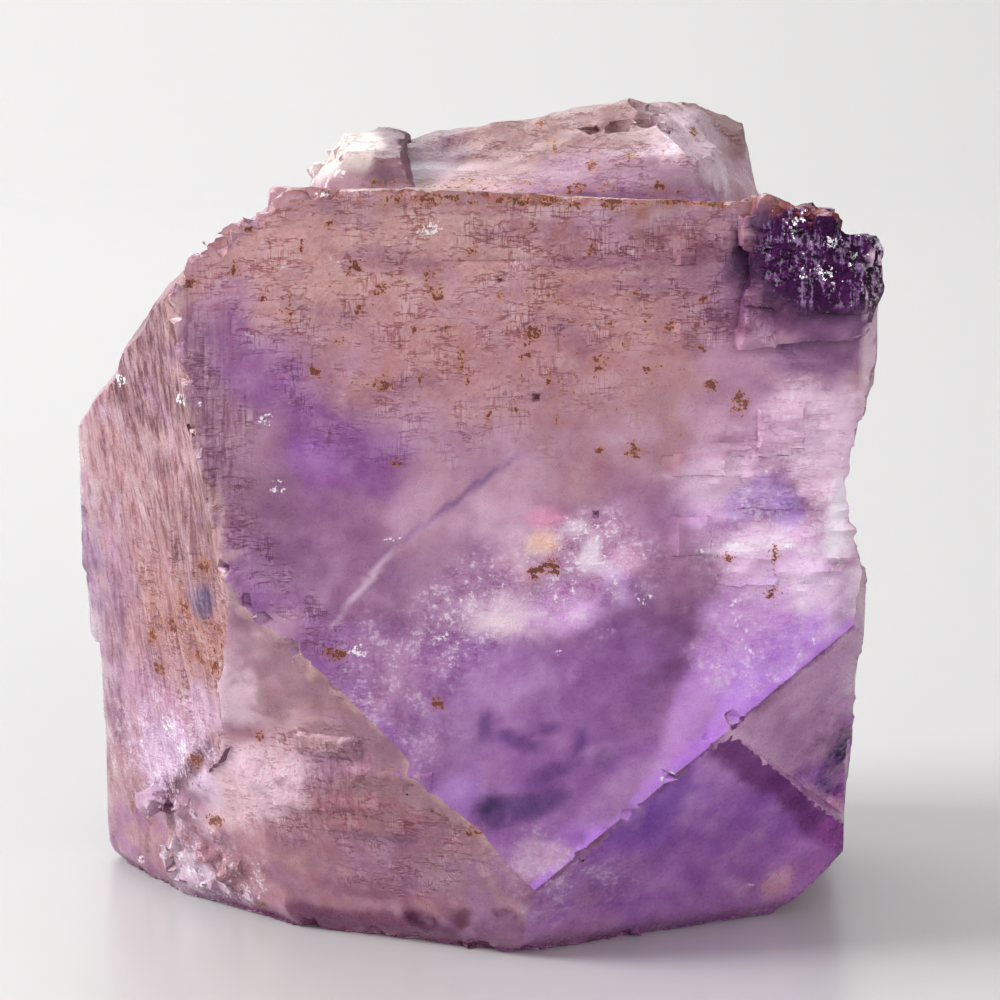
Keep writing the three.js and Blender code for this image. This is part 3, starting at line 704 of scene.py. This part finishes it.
# where the skin is cracked, ribbed, veiled, rusty, pitch dark or painted with glints (highlights):
# middle (mm), reach, turn, strength, faces it shows on (else the front)
markPatches = {
    "crackle": [
        (-1, 44, 19, 5.5, 0, 0.9), (-11.5, 24.5, 9, 1.6, -55, 0.8, "front,lowLeft"),
        (-2, 37, 12, 4.5, 0, 0.6), (11, 43, 10, 4, 0, 0.8), (20, 31, 5, 8, 0, 0.45),
        (-11, 11, 6, 4, 0, 0.8, "lowLeft,sunken"), (-4, 7, 5, 4, 0, 0.6, "lowLeft"),
        (-17, 19, 6, 8, 0, 0.9, "leftBevel"), (-16, 34, 2.5, 9, 6, 0.7),
        (-19, 10, 4, 5, 0, 0.7, "leftBevel"), (0, 25, 60, 60, 0, 0.45, "back,top,right,left"),
    ],
    "ribs": [
        (-20, 38, 8, 15, 0, 0.9, "leftBevel"), (-20, 20, 8, 16, 0, 0.5, "leftBevel"),
        (-16.5, 35, 2.5, 10, 6, 0.6), (0, 25, 60, 60, 0, 0.7, "left,right"),
        (-11, 10, 6, 4, 0, 0.4, "lowLeft,sunken"), (24, 11, 2, 5, 0, 0.35, "triangle,rightBevel"),
    ],
    "veil": [
        (1, 23, 6, 3, 30, 0.8), (7, 26, 4, 3.2, 0, 1.0), (19.5, 28, 6, 8, 0, 0.4),
        (18.5, 20, 4, 4, 30, 0.5), (-5, 17, 4, 6, -10, 0.5),
        (6, 5.8, 5, 2.6, -20, 0.4, "front,lowRight,lowLeft"),
        (-19.5, 9.5, 4.5, 5, 0, 0.9, "leftBevel"), (-18, 3, 5, 3, 0, 1.0, "sunken,footLeft"),
        (0, 25, 60, 60, 0, 0.5, "back,right"),
    ],
    "rust": [
        (-2, 41, 17, 7, 0, 0.55), (9, 39, 10, 7, 0, 0.6),
        (-17.5, 20.5, 3.2, 3.4, 0, 0.95, "leftBevel"), (-18, 28, 4, 8, 0, 0.4, "leftBevel"),
        (1, 48.6, 17, 0.5, 0, 1.0, "front,top"), (-11, 12, 5, 3, 0, 0.4, "lowLeft,sunken"),
        (19, 25, 2.4, 2, 0, 0.5), (0, 30, 60, 16, 0, 0.4, "back,top,right,left"),
    ],
    "pitch": [
        (24.2, 11.8, 1.0, 3.0, -12, 0.8, "triangle,rightBevel"),
        (21.4, 10.4, 3.4, 1.3, -41, 0.5, "lowRight"), (-2.9, 1.8, 1.3, 0.5, -3, 0.5, "lowLeft"),
    ],
    # glints painted into the colour as highlights
    "paintedGlints": [
        (-2.4, 46.9, 1.6, 0.6, 0, 1.0), (-13, 43.5, 3, 2, 0, 0.55), (8.4, 27, 2, 1.6, 0, 0.9),
        (19.5, 29, 5, 7, 0, 0.45), (-19.5, 9.5, 4, 5, 0, 0.7, "leftBevel"),
        (-18, 3, 5, 3, 0, 1.0, "sunken,footLeft"),
    ],
}

# single rust spots and painted glints (highlights), by how far back they lie: place and reach, across
# and up
rustSpots = {
    -21: [
        (-14.2, 44.3, 0.31, 0.44), (-16.9, 43.5, 0.37, 0.37), (-10.9, 41.8, 0.31, 0.69),
        (-6.8, 44.4, 0.31, 0.44), (-5.1, 42.9, 0.31, 0.37), (-2.2, 43.8, 0.44, 0.37),
        (-1.8, 42.6, 0.31, 0.5), (-0.1, 38.7, 0.25, 0.81), (-4.9, 37.2, 0.44, 0.44),
        (4.1, 40.3, 0.37, 0.5), (3.9, 38.8, 0.25, 0.44), (3.0, 35.9, 0.37, 0.31),
        (-9.2, 37.9, 0.5, 0.31), (-4.3, 32.4, 0.31, 0.37), (8.3, 38.5, 0.31, 0.5),
        (12.8, 40.7, 0.31, 0.31), (10.4, 33.0, 0.37, 0.56), (17.1, 36.0, 0.37, 0.87),
        (5.6, 25.7, 0.62, 0.5), (4.3, 25.4, 0.5, 0.44), (19.1, 24.0, 0.5, 0.5),
        (-2.1, 48.8, 1.0, 0.25), (9.1, 48.4, 0.56, 0.5), (5.3, 48.5, 0.75, 0.25),
        (2.2, 48.5, 0.62, 0.19), (0.4, 49.2, 0.37, 0.19), (-4.1, 48.8, 0.62, 0.19),
        (-2.7, 48.4, 0.5, 0.19), (-0.6, 48.6, 0.56, 0.19), (0.9, 48.3, 0.37, 0.19),
        (3.4, 48.4, 0.56, 0.19), (6.8, 48.3, 0.5, 0.19), (10.8, 48.4, 0.62, 0.19),
        (12.4, 48.3, 0.5, 0.19), (2.2, 42.4, 0.25, 0.25), (0.4, 45.5, 0.25, 0.31),
        (5.9, 42.4, 0.25, 0.25), (9.0, 41.1, 0.25, 0.25), (11.5, 38.0, 0.25, 0.31),
        (14.6, 39.3, 0.31, 0.31), (15.2, 37.1, 0.31, 0.31), (-0.9, 40.6, 0.25, 0.25),
        (-7.7, 39.9, 0.25, 0.25), (-2.8, 37.4, 0.25, 0.25), (1.6, 34.9, 0.25, 0.25),
        (5.9, 34.9, 0.25, 0.25), (8.4, 33.0, 0.25, 0.25), (-12.6, 42.4, 0.25, 0.31),
        (-10.1, 45.5, 0.25, 0.25), (-8.3, 47.1, 0.25, 0.25), (-13.2, 46.7, 0.31, 0.25),
        (10.9, 43.0, 0.25, 0.25), (7.8, 45.5, 0.25, 0.25), (14.6, 42.4, 0.25, 0.31),
        (5.3, 37.4, 0.25, 0.25), (0.3, 37.4, 0.25, 0.25), (-3.0, 40.6, 0.31, 0.25),
        (-6.5, 41.8, 0.25, 0.31),
    ],
    -22: [
        (19.3, 26.2, 0.31, 0.99), (16.3, 26.3, 0.56, 0.37), (-1.6, 17.0, 0.56, 0.37),
        (-8.2, 20.3, 0.87, 0.37), (0.6, 8.8, 0.5, 0.37),
    ],
    -20: [(13.3, 48.5, 0.75, 0.25), (15.8, 48.3, 0.63, 0.25), (14.9, 48.3, 0.56, 0.19)],
    -13: [(-17.7, 11.1, 0.58, 0.39), (-19.0, 20.1, 0.39, 0.52)],
    -10: [(-20.7, 18.6, 0.52, 0.46), (-20.1, 16.7, 0.52, 0.32)],
    -16: [(-17.0, 18.9, 0.44, 0.38), (-18.0, 21.9, 0.38, 0.38)],
    -18: [(-16.0, 18.5, 0.38, 0.5), (-13.1, 14.1, 0.32, 0.32)],
    -19: [(-16.4, 25.3, 0.31, 0.44)],
    -12: [
        (-16.5, 7.0, 0.52, 0.39), (8.1, 49.9, 0.32, 0.26), (10.5, 50.5, 0.32, 0.26),
        (-13.5, 1.1, 0.39, 0.32),
    ],
    -9: [(5.7, 50.8, 0.26, 0.26)],
    -7: [(4.7, 52.0, 0.33, 0.2)],
    -6: [(14.8, 51.5, 0.26, 0.26)],
    -14: [(12.3, 48.8, 0.38, 0.26), (7.0, 48.5, 0.51, 0.26)],
}
# glints painted into the colour as small highlights
paintedGlintSpots = {
    -21: [
        (-2.1, 46.8, 0.81, 0.5), (-3.7, 46.1, 0.44, 0.25), (-11.4, 44.7, 0.56, 0.19),
        (-8.2, 44.8, 0.44, 0.19), (-12.3, 34.9, 0.56, 0.37), (-11.7, 30.6, 0.5, 0.75),
        (-4.4, 27.6, 0.5, 0.19), (-16.4, 35.7, 0.25, 0.37), (-8.6, 48.9, 0.5, 0.31),
        (8.4, 27.1, 0.37, 0.75), (7.2, 25.8, 0.5, 0.25), (6.9, 28.0, 0.37, 0.31),
        (17.6, 21.0, 0.25, 0.87), (17.1, 22.2, 0.31, 0.37), (20.4, 27.1, 0.75, 0.25),
        (11.0, 24.5, 0.31, 0.37), (-15.6, 46.1, 0.31, 0.25), (24.4, 46.7, 0.31, 0.37),
        (8.1, 28.3, 0.37, 0.25), (8.8, 26.1, 0.31, 0.5), (6.3, 28.6, 0.44, 0.19),
        (7.4, 27.8, 0.25, 0.56), (9.2, 24.5, 0.5, 0.19), (11.6, 23.6, 0.31, 0.25),
        (21.9, 26.6, 0.62, 0.19), (21.0, 24.8, 0.25, 0.5), (22.3, 22.9, 0.5, 0.25),
        (16.9, 23.3, 0.25, 0.56), (22.8, 29.9, 0.31, 0.37), (19.0, 31.8, 0.44, 0.19),
        (23.7, 32.7, 0.25, 0.5), (23.4, 26.1, 0.25, 0.37), (21.9, 21.0, 0.31, 0.19),
    ],
    -22: [
        (-6.7, 20.4, 0.56, 0.5), (20.4, 47.5, 0.62, 0.37), (22.5, 46.0, 0.56, 0.37),
        (22.2, 44.2, 0.43, 0.5), (21.0, 44.2, 0.31, 0.31), (24.0, 44.9, 0.31, 0.43),
        (19.4, 46.8, 0.37, 0.25), (12.9, 12.5, 0.37, 0.31), (16.5, 27.0, 1.0, 0.25),
        (11.0, 23.6, 0.56, 0.19), (20.6, 47.9, 0.5, 0.19), (20.3, 46.7, 0.31, 0.31),
        (23.1, 43.5, 0.62, 0.19), (6.8, 24.2, 0.37, 0.25), (5.7, 23.6, 0.31, 0.25),
        (-0.2, 23.6, 0.31, 0.25), (-1.2, 21.4, 0.25, 0.31), (2.2, 24.6, 0.25, 0.25),
        (14.7, 26.9, 0.5, 0.19), (18.0, 20.1, 0.19, 0.5), (6.0, 20.4, 0.25, 0.19),
    ],
    -19: [(23.6, 47.5, 0.57, 0.19)],
    -10: [(13.0, 51.7, 0.33, 0.26), (-19.8, 13.0, 0.39, 0.52)],
    -12: [(13.4, 51.1, 0.19, 0.45)],
    -8: [(-17.6, 1.2, 0.66, 0.39)],
    -6: [(-20.8, 3.7, 0.46, 0.4)],
    -7: [(-19.3, 3.2, 0.39, 0.46), (-18.5, 2.1, 0.39, 0.26), (-10.0, 48.7, 0.46, 0.53)],
    -1: [(-22.4, 1.3, 0.34, 0.4)],
    -13: [(20.0, 3.5, 0.32, 0.26), (18.6, 2.9, 0.26, 0.26), (-22.1, 36.3, 0.58, 0.26)],
    -20: [(-17.6, 36.1, 0.31, 0.5)],
    -11: [(-8.0, 49.4, 0.52, 0.45), (-18.6, 11.6, 0.45, 0.58)],
    -4: [(-22.0, 10.8, 0.33, 0.4)],
}

# where painted borders start to fade, as a share of the reach, and over how much of it
borders = {
    "cloud": (1.4, 0.9),
    "patch": (1.35, 0.75),
    "mark": (1.35, 0.8),
    "speck": (1.6, 1.1),
    "edge": (1.15, 0.5),
    "corner": (1.15, 0.3),
}
# spans (mm) and strengths of the noise by which they wander
wandering = {
    "slowSpan": 4.2,
    "quickSpan": 1.3,
    "cloudSpan": 7.0,
    "fraySpan": 1.7,
    "murkSpan": 3.2,
    "slow": 2.4,
    "quick": 0.7,
    "fray": 0.3,
    "speck": 0.25,
    "depth": 0.4,
}
# the dark corner's crackle, and glints painted over it as highlights
cornerCrust = {"middle": (22.4, -18.8, 45.3), "reach": (5.6, 6.5, 4.2), "crackle": 0.9, "paintedGlints": 0.7}
ridgeCrust = {"from": 49.4, "over": 0.8, "crackle": 0.7, "rust": 0.6}
markStrength = {"rust": 0.62, "paintedGlints": 0.5}


def smoothed(value):
    value = np.clip(value, 0, 1)
    return value * value * (3 - 2 * value)


def faded(away, border):
    start, over = borders[border]
    return smoothed((start - away) / over)


def awayFrom(spot, spots, wander, quick, fray):
    # how far each point lies from the middle of a turned ellipse: 1 on its wandering rim
    x, z, wide, high, turn = spot[:5]
    cosine, sine = math.cos(math.radians(turn)), math.sin(math.radians(turn))
    sway = min(max(0.5 * min(wide, high), 0.2), 2.2)
    dx = spots[:, 0] + wander[:, 0] * sway + quick[:, 0] * sway * 0.35 - x
    dz = spots[:, 2] + wander[:, 2] * sway + quick[:, 2] * sway * 0.35 - z
    away = np.hypot((dx * cosine + dz * sine) / wide, (dz * cosine - dx * sine) / high)
    return away + fray * wandering["fray"]


def singleSpots(listed, spots, quick):
    # a small soft spot at each listed place
    total = np.zeros(len(spots))
    grow, deep = 0.12, 2.5
    for y, places in listed.items():
        for x, z, wide, high in places:
            dx, dy, dz = (spots + quick * wandering["speck"] - (x, y, z)).T
            away = np.sqrt((dx / (wide + grow)) ** 2 + (dy / deep) ** 2 + (dz / (high + grow)) ** 2)
            total = np.maximum(total, faded(away, "speck"))
    return total


def outward(name):
    facing = np.array(facets[name][1])
    return facing / np.linalg.norm(facing)


def readOut(listed, name, kind=int, width=1):
    values = np.empty(len(listed) * width, kind)
    listed.foreach_get(name, values)
    return values if width == 1 else values.reshape(-1, width)


def readSkin(mesh):
    # the points in mm, and the point and facet that each corner of a small face belongs to
    spots = readOut(mesh.vertices, "co", float, 3) / mm
    corners = readOut(mesh.loops, "vertex_index")
    starts, totals = readOut(mesh.polygons, "loop_start"), readOut(mesh.polygons, "loop_total")
    normals = readOut(mesh.polygons, "normal", float, 3)
    centres = readOut(mesh.polygons, "center", float, 3) / mm
    # mm for a full turn away, and the limit beyond which no facet is meant
    turnCost, farthest = 1.2, 3.0
    costs = []
    for name, (through, _) in facets.items():
        out = outward(name)
        costs.append(np.abs((centres - through) @ out) + turnCost * (1 - normals @ out))
    costs = np.array(costs)
    nearest = costs.argmin(0)
    nearest[costs.min(0) > farthest] = -1
    cornerFacet = np.empty(len(corners), int)
    for offset in range(totals.max()):
        has = totals > offset
        cornerFacet[starts[has] + offset] = nearest[has]
    return spots, corners, cornerFacet


def paintSkin(stone, edgeStand):
    # colour and marks for each corner of each small face, kept with the mesh
    mesh = stone.data
    spots, corners, cornerFacet = readSkin(mesh)
    names = list(facets)

    def onFaces(listed="front"):
        return np.isin(cornerFacet, [names.index(n) for n in listed.split(",")])

    def overSpots(made, span, shift=(0, 0, 0)):
        return np.array([made(Vector(p) / wandering[span] + Vector(shift)) for p in spots])

    # slow and quick wandering of the borders
    wander = overSpots(noise.noise_vector, "slowSpan")
    quick = overSpots(noise.noise_vector, "quickSpan", (7, 3, 5))
    loose = spots + wander * wandering["slow"] + quick * wandering["quick"]
    clouds = overSpots(lambda p: noise.fractal(p, 1.0, 2.0, 3), "cloudSpan")
    fray = overSpots(lambda p: noise.fractal(p, 0.8, 2.1, 3), "fraySpan", (3, 8, 1))

    # body colour: violet low, mauve and tan high
    level = np.clip(spots[:, 2] / finish["bodyHeight"] + clouds * 0.25, 0, 1)
    body = np.array([linear(c)[:3] for c in finish["bodyColours"]])
    tint = [np.interp(level, finish["bodyLevels"], values) for values in body.T]
    tint = np.stack(tint, 1)[corners]

    def lay(share, colour):
        tint[:] = tint + (np.array(linear(colour)[:3]) - tint) * share[:, None]

    maker = random.Random(hiddenClouds["seed"])
    forward = onFaces("front,lowLeft,lowRight,leftBevel,triangle,sunken")
    for _ in range(hiddenClouds["count"]):
        middle = [maker.uniform(a / mm, b / mm) for a, b in zip(cadLow, cadHigh)]
        reach = [maker.uniform(*hiddenClouds["reach"]) for _ in range(3)]
        away = np.linalg.norm((loose - middle) / reach, axis=1) + fray * wandering["fray"]
        share = faded(away, "cloud") * maker.uniform(*hiddenClouds["share"])
        share = share[corners] * np.where(forward, hiddenClouds["frontShare"], 1.0)
        lay(share, maker.choice(hiddenClouds["colours"]))

    span, drift = wandering["murkSpan"], 0.8
    curled = [Vector(p) / span + drift * Vector(w) for p, w in zip(spots, wander)]
    murk = np.array([noise.fractal(p, 0.9, 2.0, 4) for p in curled]) / 0.9
    for spot in colourPatches:
        away = awayFrom(spot, spots, wander, quick, fray)
        share = faded(away, "patch") * spot[6]
        lay(share[corners] * onFaces(*spot[7:]), spot[5])
    lay(smoothed(murk)[corners] * finish["murkShare"], finish["murkLight"])
    lay(smoothed(-murk)[corners] * finish["murkShare"], finish["murkDark"])
    for middle, reach, colour, strength, softness in colourDepths.values():
        away = np.linalg.norm((spots + quick * wandering["depth"] - middle) / reach, axis=1)
        away += fray * softness * 0.6
        lay(smoothed((1 - away) / softness + 0.5)[corners] * strength, colour)
    for here, beyond, reach, frayed, colour, strength in edgeTints:
        slope = np.linalg.norm(np.cross(outward(here), outward(beyond)))
        fromEdge = np.abs((spots - facets[beyond][0]) @ outward(beyond)) / slope
        share = faded(fromEdge / reach - fray * frayed - wander[:, 1] * 0.3, "edge")
        lay(share[corners] * strength * onFaces(here), colour)

    # the lamps leave a thin haze over everything and light the body to this share
    hazed = tint**2 / (tint + finish["haze"]) / finish["lightReach"]
    tint = np.clip(hazed, finish["darkest"], finish["palest"])

    def marksOf(kind):
        total = np.zeros(len(corners))
        for spot in markPatches[kind]:
            away = awayFrom(spot, spots, wander, quick, fray)
            total = np.maximum(total, faded(away, "mark")[corners] * spot[5] * onFaces(*spot[6:]))
        return total

    fromCrust = np.linalg.norm((spots - cornerCrust["middle"]) / cornerCrust["reach"], axis=1)
    crust = faded(fromCrust, "corner")[corners]
    ridge = smoothed((spots[:, 2] - ridgeCrust["from"]) / ridgeCrust["over"])[corners]
    edges = np.clip((edgeStand - finish["wornFrom"]) / finish["wornOver"], 0, 1)[corners]
    rust = np.maximum(marksOf("rust"), ridge * ridgeCrust["rust"]) * markStrength["rust"]
    rust = np.maximum(rust, singleSpots(rustSpots, spots, quick)[corners])
    # glints painted as highlights, also over the dark corner
    paintedGlints = np.maximum(marksOf("paintedGlints"), crust * cornerCrust["paintedGlints"]) * markStrength["paintedGlints"]
    paintedGlints = np.maximum(paintedGlints, singleSpots(paintedGlintSpots, spots, quick)[corners])
    crackle = np.maximum(marksOf("crackle"), ridge * ridgeCrust["crackle"])
    crackle = np.maximum(crackle, crust * cornerCrust["crackle"])
    ribs, veil, full = marksOf("ribs"), marksOf("veil"), np.ones(len(corners))
    pitch = np.maximum(crust, marksOf("pitch"))
    # the flecks hold rust, painted glints (highlights), worn edges and the pitch-dark share
    painted = {
        "tint": [*tint.T, full],
        "etching": [crackle, ribs, veil, full],
        "flecksAndGlints": [rust, paintedGlints, edges, pitch],
    }
    for name, values in painted.items():
        made = mesh.color_attributes.new(name, "FLOAT_COLOR", "CORNER")
        made.data.foreach_set("color", np.stack(values, 1).astype(np.float32).ravel())


# the finish of the stone's body: what it is made of, its colours, and how deep each mark goes
finish = {
    "clearness": 0.42,
    "bending": 1.434,
    "depthColour": (0.56, 0.16, 0.62),
    "depthStrength": 8.0,  # per metre
    "bodyColours": [
        (152, 108, 140), (150, 104, 158), (160, 118, 150), (172, 132, 142), (184, 152, 162),
    ],
    "bodyLevels": [0.0, 0.25, 0.5, 0.8, 1.0],
    "bodyHeight": 54,
    "darkest": 0.003,
    "palest": 0.96,
    "haze": 0.055,
    "lightReach": 0.82,
    "murkShare": 0.3,
    "murkLight": (208, 174, 206),
    "murkDark": (106, 62, 120),
    "wornFrom": 0.05,  # mm that an edge stands out
    "wornOver": 0.12,
    "mottling": 0.7,
    "graininess": 0.14,  # on the glassy faces
    "dustiness": 0.9,  # more where the skin is etched
    "etchedMottling": 0.4,
    "etchedGrain": 1.3,
    "crackDepth": 0.8,
    "pitchShine": 0.8,  # on the dark corner and the ink streaks only
    "crackColour": (104, 54, 48),
    "cornerSilver": (150, 122, 160),
    "ribLight": (222, 196, 196),
    "veilLight": (250, 236, 250),
    "rustColour": (98, 38, 16),
    "rustLight": (186, 112, 52),
    # colour of the glints painted as highlights
    "paintedGlintColour": (252, 250, 252),
    "edgeColour": (232, 214, 216),
    "roughness": 0.12,
    "bumpStrength": 0.7,
    "bumpHeight": 0.14,  # mm
}

# patterns in the finish: cells per mm, detail, roughness, and stretch along x, y and z
skinPatterns = {
    "mottle": (0.6, 2.0, 0.6, None),
    "grain": (3.0, 2.0, 0.8, None),
    "wavy": (1.2, 3.0, 0.66, (0.33, 0.33, 1.5)),
    "upright": (1.0, 2.0, 0.65, (3.0, 3.0, 0.35)),
}
wavySteepness, uprightSteepness = 24, 18

# where on its pattern each mark starts and is full, and its strength at both ends
markSteps = {
    "crackWidth": (0.15, 1.0, 1.0, 0.0),
    "crackWhere": (0.40, 0.54),
    "splitWhere": (0.5, 0.62, 0.0, 0.8),
    "ribDark": (0.5, 0.36, 0.0, 0.8),
    "ribLight": (0.52, 0.68, 0.0, 0.35),
    "foldWidth": (0.0, 0.9, 0.7, 0.0),
    "foldWhere": (0.42, 0.55),
    "veilDark": (0.46, 0.36, 0.0, 0.6),
    "veilLight": (0.51, 0.64, 0.0, 0.75),
    "corner": (0.55, 0.9),
    "silver": (0.50, 0.60, 0.0, 0.7),
    "rustWhere": (0.01, 0.10),
    "rustLight": (0.68, 0.88, 0.0, 0.75),
    "rustDark": (0.88, 0.98, 0.0, 0.95),
    "paintedGlint": (1.0, 1.2),
    "worn": (0.90, 1.0, 0.0, 0.45),
}


def stoneMaterial():
    material, start = newFinish("fluoriteBody")
    inMm = {0: start.node("ShaderNodeTexCoord", None, None, "Object"), "Scale": 1 / mm}
    place = start.node("ShaderNodeVectorMath", {"operation": "SCALE"}, inMm)

    def kept(name):
        return start.node("ShaderNodeAttribute", {"attribute_name": name}, None, "Color")

    def pattern(name):
        scale, detail, rough, stretch = skinPatterns[name]
        where = place
        if stretch:
            along = {0: place, 1: stretch}
            where = place.node("ShaderNodeVectorMath", {"operation": "MULTIPLY"}, along)
        inputs = {"Vector": where, "Scale": scale, "Detail": detail, "Roughness": rough}
        return place.node("ShaderNodeTexNoise", None, inputs)

    def stepped(value, name):
        return value.between(*markSteps[name])

    def painted(under, colourName, share):
        return laidOver(under, linear(finish[colourName]), share)

    flecksAndGlints = kept("flecksAndGlints")
    crackle = start.node("ShaderNodeSeparateColor", None, {0: kept("etching")})
    ribs, veil = crackle.also(1), crackle.also(2)
    rust = start.node("ShaderNodeSeparateColor", None, {0: flecksAndGlints})
    paintedGlints, edges, pitch = rust.also(1), rust.also(2), flecksAndGlints.also("Alpha")
    mottle, grain, wavy, upright = [pattern(name) for name in skinPatterns]

    # crackle: fine dark lines, longer across than up; ribs: upright streaks; veils: crinkled folds
    line = abs((wavy - 0.5) * wavySteepness)
    crack = stepped(line, "crackWidth") * stepped(mottle + (grain - 0.5) * 0.5, "crackWhere") * crackle
    split = stepped(abs((upright - 0.5) * uprightSteepness), "crackWidth")
    split = split * stepped(mottle, "splitWhere") * crackle
    ribbed = stepped(upright, "ribDark") * ribs
    crinkle = mottle * 0.4 + grain * 0.6
    fold = stepped(line, "foldWidth") * stepped(grain, "foldWhere") * veil
    fold += stepped(crinkle, "veilDark") * veil

    # deeper or paler colour by mottle and grain, and deeper in cracks, ribs and folds
    etched = crackle.maths("MAXIMUM", crackle, ribs) * finish["dustiness"]
    deeper = (0.5 - mottle) * (etched * finish["etchedMottling"] + finish["mottling"]) + 1
    deeper += (0.5 - grain) * (etched * finish["etchedGrain"] + finish["graininess"])
    deeper += crack * finish["crackDepth"] + split + ribbed + fold
    colour = start.node("ShaderNodeGamma", None, {"Color": kept("tint"), "Gamma": deeper}, "Color")
    corner = stepped(pitch, "corner")
    colour = painted(colour, "crackColour", crack * (1 - corner) * 0.4)
    colour = painted(colour, "cornerSilver", stepped(crinkle * 0.6 + upright * 0.4, "silver") * corner)
    colour = painted(colour, "ribLight", stepped(upright, "ribLight") * ribs)
    colour = painted(colour, "veilLight", stepped(crinkle, "veilLight") * veil)

    # rust: ragged specks where rust is painted, with a paler stain round them
    ragged = (rust + (grain - 0.5) * 2.6 + (wavy - 0.5) * 0.8) * stepped(rust, "rustWhere")
    colour = painted(colour, "rustLight", stepped(ragged, "rustLight"))
    colour = painted(colour, "rustColour", stepped(ragged, "rustDark"))

    # painted glints (highlights), and the pale worn edges
    paintedGlint = stepped(paintedGlints + (grain - 0.5) * 3.0 + (wavy - 0.5), "paintedGlint")
    worn = stepped(mottle * 0.6 + grain * 0.6 + edges * 0.3, "worn")
    colour = painted(colour, "edgeColour", worn)
    colour = painted(colour, "paintedGlintColour", paintedGlint * 0.95)

    etchedRough = grain * 0.35 + finish["roughness"] + crackle * 0.25 + veil * -0.08
    bumpHeight = grain * (crackle * 0.7 + veil * 0.7 + ribs * 0.6 + 0.05)
    bumps = {
        "Strength": finish["bumpStrength"],
        "Distance": finish["bumpHeight"] * mm,
        "Height": bumpHeight,
    }
    surface = {
        "Base Color": colour,
        "Roughness": etchedRough * (1 - paintedGlint * 0.6),
        "Metallic": pitch * finish["pitchShine"],
        "Normal": place.node("ShaderNodeBump", None, bumps, "Normal"),
        "IOR": finish["bending"],
        "Transmission Weight": finish["clearness"],
    }
    body = place.node("ShaderNodeBsdfPrincipled", None, surface)
    absorbed = {"Color": (*finish["depthColour"], 1), "Density": finish["depthStrength"]}
    depth = place.node("ShaderNodeVolumeAbsorption", None, absorbed)
    place.node("ShaderNodeOutputMaterial", None, {"Surface": body, "Volume": depth})
    return material


stone = fineSkin(frame["nodes"]["fluorite_crystal"])
edgeStand = growRelief(stone)
print("stone skin:", len(stone.data.polygons), "faces")
paintSkin(stone, edgeStand)
stone.data.materials.clear()
stone.data.materials.append(stoneMaterial())
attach(stone, "root")
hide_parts("fluorite_crystal")
print("stone painted")
